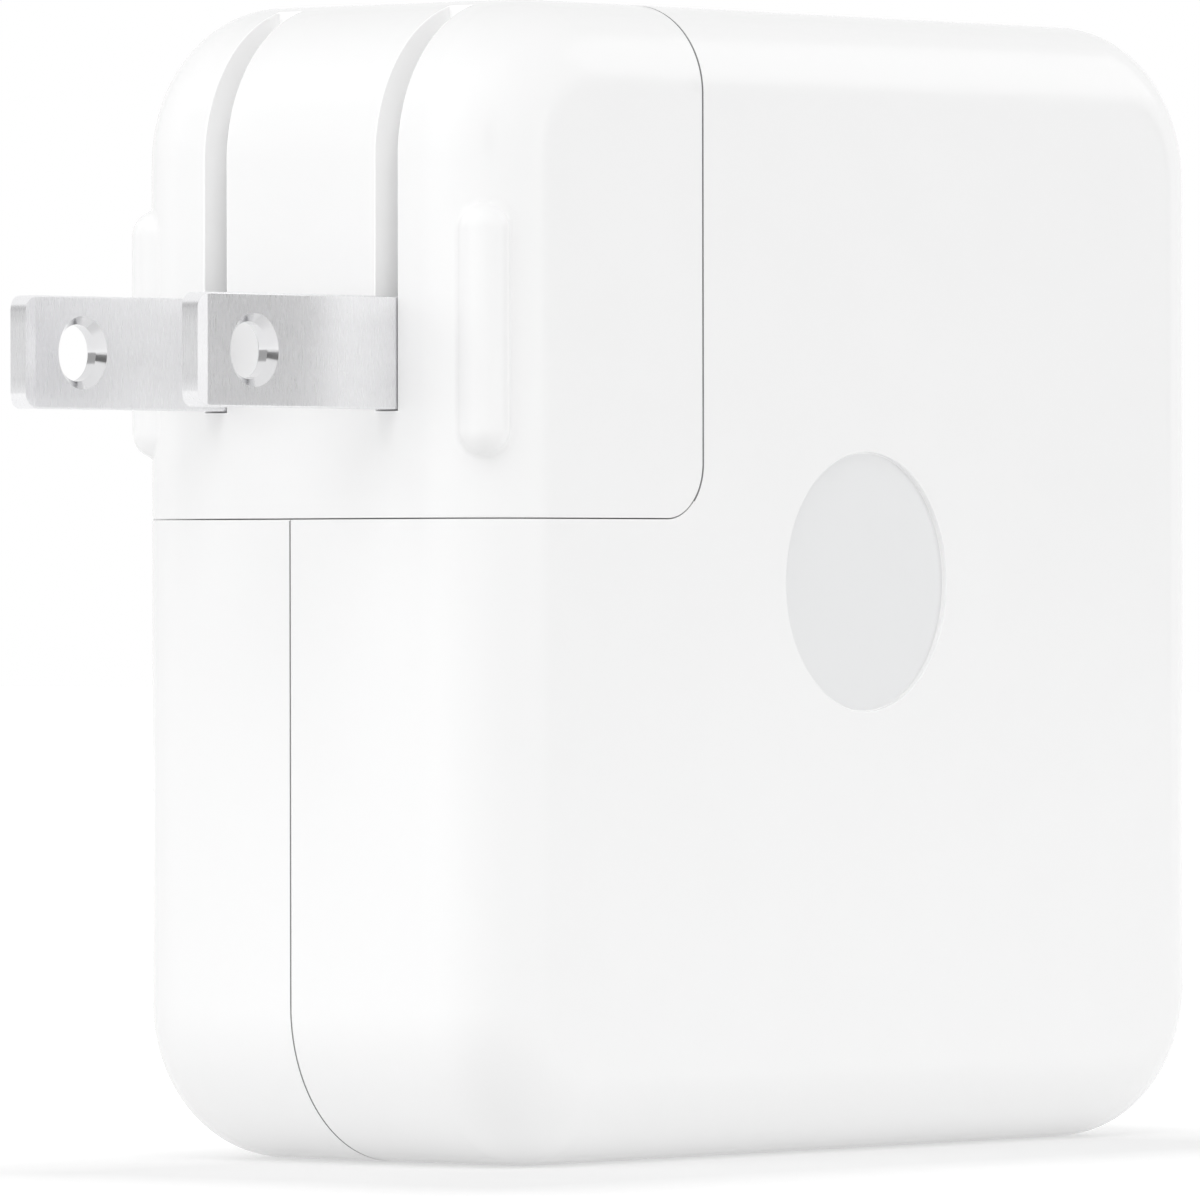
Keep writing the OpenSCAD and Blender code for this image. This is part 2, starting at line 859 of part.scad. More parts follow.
module stud_nut() {
    color("silver")
        translate([notch_x + wall, 0, stud_z])
            rotate([0, 90, 0])
                difference() {
                    cylinder(h = nut_t, r = nut_w / 2 / cos(30), $fn = 6);
                    translate([0, 0, -past])
                        cylinder(h = nut_t + 2 * past, r = stud_d / 2 + press_fit);
                }
}

// ---- main board and what it carries ----

// follows the case, with its upper left corner cut away round the inlet block
module main_board() {
    color("darkgreen")
        slab(board_y, board_back)
            difference() {
                case_outline(board_edge);
                translate([-past, inlet_low - fit])
                    square([bridge_at[0] - part_gap + past, case_h]);
            }
}

module fuse() {
    color("saddlebrown")
        on_board(fuse_at[0], fuse_at[1])
            cube(fuse_size);
}

// disc that stands on two wires, square to its own axis
module disc_part(d, t) {
    for (side = [-1, 1])
        translate([0, side * d / 4, 0])
            cylinder(h = disc_lift + d / 4, r = wire_d / 2);
    translate([-t / 2, 0, disc_lift + d / 2])
        rotate([0, 90, 0])
            cylinder(h = t, r = d / 2);
}

module varistor() {
    color("royalblue")
        on_board(varistor_at[0] + varistor_t / 2, varistor_at[1])
            disc_part(varistor_d, varistor_t);
}

module suppression_capacitor() {
    color("gold")
        on_board(x_cap_at[0], x_cap_at[1])
            cube(x_cap_size);
}

module choke_core() {
    color("darkgreen")
        on_board(choke_at[0], choke_at[1])
            translate([0, 0, choke_wind_t + fit / 2])
                difference() {
                    cylinder(h = choke_h, r = choke_d / 2);
                    translate([0, 0, -past])
                        cylinder(h = choke_h + 2 * past, r = choke_bore / 2);
                }
}

module choke_windings() {
    inner = choke_bore / 2 - choke_wind_t;
    gap = fit / 2;
    color("orangered")
        on_board(choke_at[0], choke_at[1])
            for (turn = [0, 180])
                rotate([0, 0, turn - choke_wind_a / 2])
                    rotate_extrude(angle = choke_wind_a)
                        difference() {
                            translate([inner, 0])
                                square([choke_r - inner, choke_h + 2 * choke_wind_t + 2 * gap]);
                            translate([choke_bore / 2 - gap, choke_wind_t])
                                square([(choke_d - choke_bore) / 2 + 2 * gap, choke_h + 2 * gap]);
                        }
}

module bridge_rectifier() {
    color("dimgray")
        on_board(bridge_at[0], bridge_at[1])
            cube(bridge_size);
}

// can that lies along x just above the board, open towards its bung
module main_capacitor() {
    color("midnightblue")
        on_board(bulk_at[0], bulk_at[1])
            translate([0, 0, bulk_d / 2 + fit])
                rotate([0, 90, 0])
                    difference() {
                        cylinder(h = bulk_l, r = bulk_d / 2);
                        translate([0, 0, -past])
                            cylinder(h = bung_t + past, r = bulk_d / 2 - can_t);
                        translate([0, 0, bung_t + 2 * can_t])
                            rotate_extrude()
                                translate([bulk_d / 2, 0])
                                    circle(can_t);
                    }
}

module capacitor_bung() {
    color("black")
        on_board(bulk_at[0], bulk_at[1])
            translate([0, 0, bulk_d / 2 + fit])
                rotate([0, 90, 0])
                    cylinder(h = bung_t, r = bulk_d / 2 - can_t - fit / 2);
}

module capacitor_wires() {
    wire_pitch = 7.5;
    axis_h = bulk_d / 2 + fit;
    color("silver")
        on_board(bulk_at[0] - wire_d, bulk_at[1])
            for (side = [-1, 1])
                translate([0, side * wire_pitch / 2, 0]) {
                    cylinder(h = axis_h, r = wire_d / 2);
                    translate([0, 0, axis_h])
                        sphere(wire_d / 2);
                    translate([0, 0, axis_h])
                        rotate([0, 90, 0])
                            cylinder(h = wire_d, r = wire_d / 2);
                }
}

// ---- transformer: centre leg along z, windings round it ----

module on_transformer() {
    on_board(transformer_x, transformer_z)
        translate([0, 0, flange_h])
            children();
}

module transformer_core() {
    color("dimgray")
        on_transformer()
            difference() {
                cube([core_l, core_w, core_h], center = true);
                for (side = [-1, 1])
                    translate([side * (core_mid / 2 + core_l / 2 - core_leg) / 2, 0, 0])
                        cube([core_l / 2 - core_leg - core_mid / 2, window_w, 2 * core_h], center = true);
            }
}

module transformer_bobbin() {
    end_t = bobbin_wall;
    tube_l = window_w - fit;
    color("ivory")
        on_transformer()
            difference() {
                union() {
                    cube([2 * bobbin_r, tube_l, 2 * bobbin_h], center = true);
                    for (side = [-1, 1])
                        translate([0, side * (tube_l - end_t) / 2, 0])
                            cube([2 * flange_r, end_t, 2 * flange_h], center = true);
                }
                cube([core_mid + 2 * fit, 2 * core_w, core_h + 2 * fit], center = true);
            }
}

module transformer_winding() {
    winding_l = window_w - fit - 2 * bobbin_wall - fit;
    color("gold")
        on_transformer()
            rotate([90, 0, 0])
                linear_extrude(winding_l, center = true)
                    difference() {
                        round_rect(2 * (flange_r - fit), 2 * (flange_h - fit), winding_t / 2);
                        square([2 * bobbin_r + fit, 2 * bobbin_h + fit], center = true);
                    }
}

// soft pad that takes heat from the transformer to the near side
module thermal_pad() {
    top = board_y - transformer_h;
    color("lightblue")
        translate([transformer_x - flange_r, -inner_y + spreader_t + sheet_t, transformer_z - window_w / 2])
            cube([2 * flange_r, top + inner_y - spreader_t - sheet_t, window_w]);
}

// ---- transistors and heatsinks ----

module sink_plate(x, l) {
    on_board(x, sink_z)
        cube([l, heatsink_t, heatsink_h]);
}

module transistor(x) {
    on_board(x, transistor_z) {
        translate([0, 0, leg_l])
            cube([transistor_size[0], transistor_size[1], transistor_size[2] - leg_l]);
        for (n = [-1, 0, 1])
            translate([
                transistor_size[0] / 2 + n * leg_pitch - leg_w / 2,
                transistor_size[1] / 2 - leg_w / 2,
                0
            ])
                cube([leg_w, leg_w, leg_l]);
    }
}

module primary_heatsink() {
    color("silver")
        sink_plate(primary_sink_x, primary_sink_l);
}

module power_transistor() {
    color("dimgray")
        transistor(primary_sink_x + transistor_inset);
}

module secondary_heatsink() {
    color("silver")
        sink_plate(secondary_sink_x, secondary_sink_l);
}

module rectifier_transistor() {
    color("dimgray")
        transistor(secondary_sink_x + (secondary_sink_l - transistor_size[0]) / 2);
}

// ---- small parts ----

module switching_controller() {
    color("black")
        on_board(controller_at[0], controller_at[1])
            cube(controller_size);
}

module optocoupler() {
    color("white")
        on_board(opto_at[0], opto_at[1])
            cube(opto_size);
}

module safety_capacitor() {
    color("dodgerblue")
        on_board(y_cap_at[0] + y_cap_t / 2, y_cap_at[1])
            disc_part(y_cap_d, y_cap_t);
}

module output_capacitors() {
    color("slategray")
        for (n = [0, 1])
            on_board(out_cap_at[0], out_cap_at[1] + n * out_cap_step)
                cylinder(h = out_cap_h, r = out_cap_d / 2);
}

// upright sheet between the mains side and the output side
module isolation_barrier() {
    low = bulk_at[1] + bulk_d / 2 + part_gap;
    color("ivory")
        on_board(barrier_x, low)
            cube([barrier_t, opto_at[1] - part_gap - low, heatsink_h]);
}

// ---- output port ----

module port_board() {
    color("darkgreen")
        translate([port_board_x, port_t / 2, port_z - port_board_w / 2])
            cube([port_board_l, port_board_t, port_board_w]);
}

module board_header() {
    low = port_t / 2 + port_board_t;
    color("black")
        translate([port_board_x + part_gap, low, port_z - header_w / 2])
            cube([header_l, board_y - low, header_w]);
}

module port_shell() {
    color("silver")
        translate([0, 0, port_z])
            run(port_back, port_mouth)
                difference() {
                    stadium(port_t, port_w);
                    stadium(port_t - 2 * port_sheet, port_w - 2 * port_sheet);
                }
}

module port_insert() {
    color("black")
        translate([0, 0, port_z]) {
            run(port_back, port_back + port_plug)
                stadium(port_t - 2 * port_sheet - fit, port_w - 2 * port_sheet - fit);
            translate([port_back, -lug_t / 2, -lug_w / 2])
                cube([port_l - port_inset, lug_t, lug_w]);
        }
}

module port_contacts() {
    row = (pad_count - 1) * pad_pitch;
    color("gold")
        for (side = [0, 1], n = [0:pad_count - 1])
            mirror([0, side, 0])
                translate([
                    port_mouth - port_inset - pad_l - pad_w,
                    lug_t / 2,
                    port_z - row / 2 + n * pad_pitch - pad_w / 2
                ])
                    cube([pad_l, pad_t, pad_w]);
}

module power_delivery_chip() {
    color("black")
        translate([
            port_board_x + port_board_l - chip_size[0] - part_gap,
            port_t / 2 + port_board_t,
            port_z - chip_size[1] / 2
        ])
            cube([chip_size[0], chip_size[2], chip_size[1]]);
}

// ---- spreaders and sheets along both broad walls ----

module sheet_outline() {
    difference() {
        case_outline(sheet_inset);
        for (at = post_places)
            translate(at)
                circle(post_d / 2 + slide_fit);
    }
}

module heat_spreader_near() {
    color("peru")
        slab(-inner_y, -sheet_y)
            case_outline(sheet_inset);
}

module insulating_sheet_near() {
    color("khaki")
        slab(-sheet_y, sheet_t - sheet_y)
            case_outline(sheet_inset);
}

module heat_spreader_far() {
    color("peru")
        slab(sheet_y, inner_y)
            sheet_outline();
}

module insulating_sheet_far() {
    color("khaki")
        slab(sheet_y - sheet_t, sheet_y)
            sheet_outline();
}

placed() {
    case_near();
    case_far();
    plug_shell();
    plug_cover();
    blade_near();
    blade_far();
    blade_hub();
    hub_retainer();
    detent_spring();
    plug_contact_near();
    plug_contact_far();
    inlet_block();
    inlet_pin_near();
    inlet_pin_far();
    retention_stud();
    stud_nut();
    main_board();
    fuse();
    varistor();
    suppression_capacitor();
    choke_core();
    choke_windings();
    bridge_rectifier();
    main_capacitor();
    capacitor_bung();
    capacitor_wires();
    transformer_core();
    transformer_bobbin();
    transformer_winding();
    power_transistor();
    primary_heatsink();
    switching_controller();
    optocoupler();
    safety_capacitor();
    rectifier_transistor();
    secondary_heatsink();
    output_capacitors();
    isolation_barrier();
    port_board();
    board_header();
    port_shell();
    port_insert();
    port_contacts();
    power_delivery_chip();
    thermal_pad();
    heat_spreader_near();
    heat_spreader_far();
    insulating_sheet_near();
    insulating_sheet_far();
}
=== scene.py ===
"""Looks of the laptop power adapter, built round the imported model.

Sizes are millimetres in plug-face coordinates: x runs from the plug face to the rear face, y from
the middle of the thickness, z from the base. to_frame() turns them into the model's metres.
"""

import json
import math

import bmesh
import bpy
from mathutils import Matrix, Vector


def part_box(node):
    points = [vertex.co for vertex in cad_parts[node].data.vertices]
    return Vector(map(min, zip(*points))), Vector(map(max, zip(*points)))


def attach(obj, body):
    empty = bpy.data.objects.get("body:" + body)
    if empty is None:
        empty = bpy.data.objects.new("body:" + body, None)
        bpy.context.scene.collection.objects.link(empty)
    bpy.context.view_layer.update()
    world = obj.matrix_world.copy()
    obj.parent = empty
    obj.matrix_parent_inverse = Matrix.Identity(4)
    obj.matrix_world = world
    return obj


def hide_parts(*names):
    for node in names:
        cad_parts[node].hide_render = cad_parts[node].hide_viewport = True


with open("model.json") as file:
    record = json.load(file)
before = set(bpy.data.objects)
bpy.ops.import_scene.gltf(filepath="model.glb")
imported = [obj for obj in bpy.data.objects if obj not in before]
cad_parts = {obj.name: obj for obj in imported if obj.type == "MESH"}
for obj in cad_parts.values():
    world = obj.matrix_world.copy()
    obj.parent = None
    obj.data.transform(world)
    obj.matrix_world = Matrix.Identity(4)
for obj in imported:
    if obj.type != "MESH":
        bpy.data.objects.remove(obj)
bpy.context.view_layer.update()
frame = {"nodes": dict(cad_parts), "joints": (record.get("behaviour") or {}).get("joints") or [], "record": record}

MM = 0.001

# how far a cutting tool reaches past what it cuts
PAST = 1

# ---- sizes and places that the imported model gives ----

near_low, near_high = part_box("case_near")
far_low, far_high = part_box("case_far")
shell_low, shell_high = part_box("plug_shell")
blade_low, blade_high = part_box("blade_near")
hub_low, hub_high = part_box("blade_hub")
port_low, port_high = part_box("port_shell")
inlet_low, inlet_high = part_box("inlet_block")

CASE_L = (near_high.x - near_low.x) / MM
CASE_T = (far_high.y - near_low.y) / MM
CASE_H = near_high.z / MM
PARTING_Y = far_low.y / MM
HALF_L = CASE_L / 2
HALF_T = CASE_T / 2
BLADE_T = (blade_high.y - blade_low.y) / MM
BLADE_W = (blade_high.z - blade_low.z) / MM
BLADE_Y = -(blade_high.y + blade_low.y) / 2 / MM
BLADE_Z = (blade_high.z + blade_low.z) / 2 / MM
BLADE_TIP = blade_low.x / MM + HALF_L
HUB_L = (hub_high.y - hub_low.y) / MM
HUB_R = (hub_high.z - hub_low.z) / 2 / MM
PIVOT_X = next(j for j in frame["joints"] if j["name"] == "blade_fold")["pos_m"][0] / MM + HALF_L
INLET_X = (inlet_low.x + inlet_high.x) / 2 / MM + HALF_L
INLET_HALF_Y = inlet_high.y / MM
PORT_Z = (port_high.z + port_low.z) / 2 / MM
PORT_W = (port_high.z - port_low.z) / MM
PORT_T = (port_high.y - port_low.y) / MM
BOARD_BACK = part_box("main_board")[1].y / MM

# ---- sizes of the skins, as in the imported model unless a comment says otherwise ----

# corners of the square outline, and the edges round both broad faces
CORNER_R = 9.1
EDGE_R = 5.2
CASE_WALL = 2.0
PLUG_WALL = 1.8

# play round what goes into a hole or a groove, and the tongue that the halves join with
FIT = 0.1
TONGUE_T = 0.8
TONGUE_H = 1.2

# the seam between plug and case: the middle of its gap, and its inner corner
CAD_SEAM_GAP = 0.25
SEAM_R = 3.2
SEAM_X = shell_high.x / MM + HALF_L + CAD_SEAM_GAP / 2
SEAM_Z = shell_low.z / MM - CAD_SEAM_GAP / 2

# the narrow sides are flat from -FLAT_Y to FLAT_Y
FLAT_Y = HALF_T - EDGE_R

# seams as they look, finer than in the imported model: a narrow gap between two rounded lips. The
# PAINTED_SHADE counts say how many of a lip's steps are darkened with painted shade.
SEAM_GAP = 0.05
SEAM_LIP = 0.08
SEAM_SHADE_LEVEL = 1
SEAM_SHADE_UPRIGHT = 3
PARTING_GAP = 0.05
PARTING_LIP = 0.05
PARTING_SHADE = 3

# blade slots, which run a little past the blade at both ends (less at the lower end than in the
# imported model, where the gap shows), and the pockets behind them
SLOT_FIT = 0.06
SLOT_TAIL = 0.2
SLOT_TAIL_LOW = 0.08
SLOT_DEPTH = PIVOT_X + BLADE_W / 2 + SLOT_TAIL
SLOT_LOW = BLADE_Z - BLADE_W / 2 - SLOT_TAIL_LOW
SLOT_HALF = BLADE_T / 2 + SLOT_FIT
SLOT_WALL = 1.2
SLOT_LIP = 0.08
POCKET_EASE = 0.02

# the bearing of the hub that both blades sit on, and the hub's neck inside a blade
HUB_FIT = 0.06
HUB_NECK_R = 1.225

# grip ribs: upright capsules sunk into the plug's rounded edges, blended into the skin
RIB_R = 1.5
RIB_X = 1.65
RIB_Y = 12.1
RIB_RISE = 3.5
RIB_Z = SEAM_Z + RIB_RISE + RIB_R
RIB_SPAN = 11.2
RIB_BLEND = 0.2
RIB_HALVINGS = 24

# plain round recess in the near face, and the rounding of its edge
RECESS_R = 7.5
RECESS_DEPTH = 0.3
RECESS_EDGE = 0.07

# blades: corners of the tip, eased edges, bevels of the tip, countersunk hole
BLADE_TIP_R = 0.9
BLADE_EDGE_R = 0.12
BEVEL_L = 0.65
BEVEL_D = 0.18
BEVEL_PAST = 0.5
HOLE_IN = 4.6
HOLE_R = 1.6
HOLE_SINK = 0.45
HOLE_PAST = 0.2

# openings of the case for the inlet, the stud and the port, and the posts inside it
INLET_HALF_X = 4.7
STUD_HOLE_R = 1.8
STUD_RISE = 14
PORT_FLARE = 0.35
POST_R = 1.75
POST_EASE = 0.2
POST_PLACES = [
    (CORNER_R, CORNER_R),
    (CASE_L - CORNER_R, CORNER_R),
    (CASE_L - CORNER_R, CASE_H - CORNER_R),
    (SEAM_X + CAD_SEAM_GAP / 2 + CASE_WALL + 2 * POST_R, CASE_H - CORNER_R),
]

# ---- points per stretch ----

CORNER_STEPS = 36
EDGE_STEPS = 24
FINE_EDGE_STEPS = 72
LIP_STEPS = 4
STRAIGHT_STEPS = 6
MIDDLE_STEPS = 6
SIDE_STEPS = 2
ABOVE_SLOT_STEPS = 12
SLOT_BEND_STEPS = 44
SLOT_DROP_STEPS = 110
BELOW_SLOT_STEPS = 46
RECESS_STEPS = 160
POST_STEPS = 48
MOUTH_STEPS = 24
FLARE_STEPS = 6
HOLE_STEPS = 128
TIP_STEPS = 12
BLADE_EDGE_STEPS = 5
TURN_STEPS = 96

# finishes on one piece: its own, the painted shade of seam lips and blade holes, and the recess's duller tone on
# the case, the slots' painted light on the plug
BODY, PAINTED_SHADE, RECESS_AND_PAINTED_LIGHT = range(3)

# edges that turn by more degrees than this look sharp
SHARP_DEGREES = 34

# points nearer to each other than this, in metres, become one
WELD = 1e-7


def to_frame(p):
    """Plug-face millimetres to the model's metres."""
    return Vector((p[0] - HALF_L, p[1], p[2])) * MM


# ---- meshes put together from strips ----


class Skin:
    """Faces gathered point by point, then welded into closed shells."""

    def __init__(self):
        self.verts = []
        self.faces = []
        self.finishes = []

    def face(self, points, finish=BODY):
        first = len(self.verts)
        self.verts += [to_frame(p) for p in points]
        self.faces.append(list(range(first, first + len(points))))
        self.finishes.append(finish)

    def grid(self, rows, closed=False, keep=None, finish=None):
        """Quads between rows of points; keep(i, j) says which exist, finish(i, j) how they look."""
        first = len(self.verts)
        n = len(rows[0])
        self.verts += [to_frame(p) for row in rows for p in row]
        for i in range(len(rows) - 1):
            for j in range(n if closed else n - 1):
                if keep and not keep(i, j):
                    continue
                k = (j + 1) % n
                self.faces.append([first + i * n + j, first + i * n + k,
                                   first + (i + 1) * n + k, first + (i + 1) * n + j])
                self.finishes.append(finish(i, j) if finish else BODY)

    def loft(self, rings, side=BODY, end=BODY):
        """A closed solid through rings of points, flat at both ends."""
        self.grid(rings, closed=True, finish=lambda i, j: side)
        self.face(rings[0], end)
        self.face(rings[-1], end)

    def build(self, name):
        """The object, whose faces point outward, with a place for each finish."""
        mesh = bpy.data.meshes.new(name)
        bm = bmesh.new()
        verts = [bm.verts.new(v) for v in self.verts]
        for f, finish in zip(self.faces, self.finishes):
            bm.faces.new([verts[i] for i in f]).material_index = finish
        bmesh.ops.remove_doubles(bm, verts=bm.verts, dist=WELD)
        bmesh.ops.recalc_face_normals(bm, faces=bm.faces)
        bm.to_mesh(mesh)
        bm.free()
        for _ in (BODY, PAINTED_SHADE, RECESS_AND_PAINTED_LIGHT):
            mesh.materials.append(None)
        obj = bpy.data.objects.new(name, mesh)
        bpy.context.scene.collection.objects.link(obj)
        return obj


def combine(obj, tool, operation="DIFFERENCE"):
    """Boolean of the mesh with a tool, which is removed."""
    modifier = obj.modifiers.new("combine", "BOOLEAN")
    modifier.operation = operation
    modifier.solver = "EXACT"
    modifier.object = tool
    graph = bpy.context.evaluated_depsgraph_get()
    mesh = bpy.data.meshes.new_from_object(obj.evaluated_get(graph))
    obj.modifiers.clear()
    mesh.name = obj.name
    obj.data = mesh
    bpy.data.objects.remove(tool)


def smooth(obj):
    """Smooth shading that keeps flat faces flat and true edges sharp."""
    obj.data.polygons.foreach_set("use_smooth", [True] * len(obj.data.polygons))
    obj.data.set_sharp_from_angle(angle=math.radians(SHARP_DEGREES))
    modifier = obj.modifiers.new("weighted", "WEIGHTED_NORMAL")
    modifier.keep_sharp = True
    modifier.weight = 100


def block(*boxes):
    """A tool of separate boxes, each (low corner, high corner)."""
    skin = Skin()
    for low, high in boxes:
        corners = [(low[0], low[1]), (high[0], low[1]), (high[0], high[1]), (low[0], high[1])]
        skin.loft([[(x, y, z) for x, y in corners] for z in (low[2], high[2])])
    return skin.build("tool")


def turned(centre, axis, profile, steps=TURN_STEPS, side=BODY, end=BODY):
    """A turned tool: profile is (distance along the axis, radius) from end to end."""
    axis = Vector(axis)
    across = axis.orthogonal().normalized()
    other = axis.cross(across)
    turn = [2 * math.pi * k / steps for k in range(steps)]
    rings = [[Vector(centre) + axis * h + (across * math.cos(a) + other * math.sin(a)) * r
              for a in turn] for h, r in profile]
    skin = Skin()
    skin.loft(rings, side, end)
    return skin.build("tool")


def quarter(n):
    """Sine and cosine of n + 1 angles from 0 to 90 degrees."""
    return [(math.sin(math.pi / 2 * k / n), math.cos(math.pi / 2 * k / n)) for k in range(n + 1)]


# ---- outlines in x and z: lists of (x, z, outward x, outward z) ----


def straight(start, end, normal, n=STRAIGHT_STEPS):
    """A straight stretch whose outward direction is the same all along."""
    return [(start[0] + (end[0] - start[0]) * k / n,
             start[1] + (end[1] - start[1]) * k / n, *normal) for k in range(n + 1)]


def arc(centre, r, start, end, n=CORNER_STEPS):
    """Part of a circle between two angles in degrees, outward being away from its centre."""
    angles = [math.radians(start + (end - start) * k / n) for k in range(n + 1)]
    return [(centre[0] + r * math.cos(a), centre[1] + r * math.sin(a), math.cos(a), math.sin(a))
            for a in angles]


def chain(*stretches):
    """Stretches joined end to start, with each joint's point once."""
    out = list(stretches[0])
    for s in stretches[1:]:
        out += s[1:]
    return out


def case_path(inset, x_cut, z_cut):
    """From the seam down the plug face, along the base, up the rear and back along the top."""
    r = CORNER_R - inset
    left, right = inset, CASE_L - inset
    low, high = inset, CASE_H - inset
    return chain(
        straight((left, z_cut), (left, low + r), (-1, 0)),
        arc((left + r, low + r), r, 180, 270),
        straight((left + r, low), (right - r, low), (0, -1)),
        arc((right - r, low + r), r, 270, 360),
        straight((right, low + r), (right, high - r), (1, 0)),
        arc((right - r, high - r), r, 0, 90),
        straight((right - r, high), (x_cut, high), (0, 1)),
    )


def on_path(p, d, y):
    """The point at depth d below the outline, at place y of the thickness."""
    return Vector((p[0] - d * p[2], y, p[1] - d * p[3]))


# ---- profiles across the thickness: lists of (depth, y, outward, along y) ----


def rounded_edge(side, inset, n):
    """From the side's flat stretch over the rounded edge to the broad face."""
    r = EDGE_R - inset
    return [(r * (1 - c), side * (FLAT_Y + r * s), c, side * s) for s, c in quarter(n)]


def half_profile(side, inset, start, lip):
    """From the parting line, over its lip, to the broad face."""
    out = [(lip * (1 - s), start + side * lip * (1 - c), 1, 0) for s, c in quarter(LIP_STEPS)[:-1]]
    y0, y1 = start + side * lip, side * FLAT_Y
    out += [(0, y0 + (y1 - y0) * k / STRAIGHT_STEPS, 1, 0) for k in range(STRAIGHT_STEPS)]
    return out + rounded_edge(side, inset, EDGE_STEPS)


def full_profile(inset, breaks):
    """Across the whole thickness, through the edges of the two blade slots."""
    near = rounded_edge(-1, inset, FINE_EDGE_STEPS)[::-1]
    places = [-FLAT_Y, *breaks, FLAT_Y]
    middle = []
    for y0, y1 in zip(places, places[1:]):
        n = MIDDLE_STEPS if y0 < 0 < y1 else SIDE_STEPS
        middle += [(0, y0 + (y1 - y0) * k / n, 1, 0) for k in range(1, n + 1)]
    return near + middle + rounded_edge(1, inset, FINE_EDGE_STEPS)[1:]


# ---- the seam between plug and case: lists of (point, inward normal, way into the material) ----


def seam_front(profile, inset, z_cut, material):
    """Across the plug face; material is 1 for the case and -1 for the plug, as in the next two."""
    return [(Vector((inset + d, y, z_cut)), Vector((nd, -ny, 0)), Vector((0, 0, -material)))
            for d, y, nd, ny in profile]


def seam_top(profile, inset, x_cut, material):
    """Back across the top."""
    return [(Vector((x_cut, y, CASE_H - inset - d)), Vector((0, -ny, -nd)),
             Vector((material, 0, 0))) for d, y, nd, ny in profile[::-1]]


def seam_side(side, inset, x_cut, z_cut, r, material):
    """Along a broad face, from the front edge round the inner corner up to the top edge."""
    y = side * (HALF_T - inset)
    inward = Vector((0, -side, 0))
    out = [(Vector((p[0], y, z_cut)), inward, Vector((0, 0, -material)))
           for p in straight((EDGE_R, z_cut), (x_cut - r, z_cut), (0, 1))[1:]]
    out += [(Vector((p[0], y, p[1])), inward, Vector((p[2], 0, p[3])) * material)
            for p in arc((x_cut - r, z_cut + r), r, 270, 360)[1:]]
    out += [(Vector((x_cut, y, p[1])), inward, Vector((material, 0, 0)))
            for p in straight((x_cut, z_cut + r), (x_cut, CASE_H - EDGE_R), (1, 0))[1:-1]]
    return out


def seam_finish(rows):
    """The inner steps of a seam's lip get the painted shade: fewer along its level run than above it."""
    half_bend = SEAM_Z + SEAM_R * (1 - math.cos(math.radians(45)))

    def finish(i, j):
        steps = SEAM_SHADE_LEVEL if rows[0][j].z < half_bend else SEAM_SHADE_UPRIGHT
        return PAINTED_SHADE if LIP_STEPS - steps <= i < LIP_STEPS else BODY
    return finish


def lip_rows(curve, lip):
    """Rows of points over the rounded lip, from the skin to the wall of the seam."""
    return [[c + m * lip * (1 - s) + n * lip * (1 - k) for c, n, m in curve]
            for s, k in quarter(LIP_STEPS)]


# ---- case halves ----


def notch_arc(x_cut, z_cut, r, y):
    """The inner corner of the seam, at place y of the thickness."""
    return [Vector((p[0], y, p[1])) for p in arc((x_cut - r, z_cut + r), r, 0, -90)]


def notch_walls(inset):
    """The case's walls along the seam: x of the upright, z of the level, radius of the bend."""
    grow = SEAM_GAP / 2 + inset
    return SEAM_X + grow, SEAM_Z - grow, SEAM_R + grow


def half_surface(skin, side, inset, lip, parting_lip, start):
    """One skin of a case half, open at the parting line; returns its rim there."""
    x_cut, z_cut, r = notch_walls(inset)
    profile = half_profile(side, inset, start, parting_lip)
    path = case_path(inset, x_cut + lip, z_cut - lip)
    # the first PARTING_SHADE steps of the outer skin's parting lip get the painted shade
    skin.grid([[on_path(p, d, y) for d, y, _, _ in profile] for p in path],
              finish=lambda i, j: PAINTED_SHADE if inset == 0 and j < PARTING_SHADE else BODY)

    flat = seam_side(side, inset, x_cut, z_cut, r, 1)
    curve = seam_front(profile, inset, z_cut, 1) + flat + seam_top(profile, inset, x_cut, 1)
    rows = lip_rows(curve, lip)
    skin.grid(rows, finish=seam_finish(rows))
    band = len(profile)
    contour = [on_path(p, *profile[-1][:2]) for p in path]
    skin.face(contour + rows[0][band:band + len(flat)][::-1])

    wall = rows[-1]
    low_end = band + STRAIGHT_STEPS - 1
    bend_end = low_end + CORNER_STEPS
    bend = notch_arc(x_cut, z_cut, r, start)
    skin.face(wall[:low_end + 1] + [bend[-1]])
    skin.grid([wall[low_end:bend_end + 1], bend[::-1]])
    skin.face(wall[bend_end:] + [bend[0]])
    edge = [on_path(p, profile[0][0], start) for p in path]
    return edge + [row[-1] for row in rows[1:]] + bend + [row[0] for row in rows[:0:-1]]


def rim_loop(inset, y):
    """The outline at this inset, point for point like the rim that half_surface returns."""
    x_cut, z_cut, r = notch_walls(inset)
    edge = [on_path(p, 0, y) for p in case_path(inset, x_cut, z_cut)]
    return edge + [edge[-1]] * LIP_STEPS + notch_arc(x_cut, z_cut, r, y) + [edge[0]] * LIP_STEPS


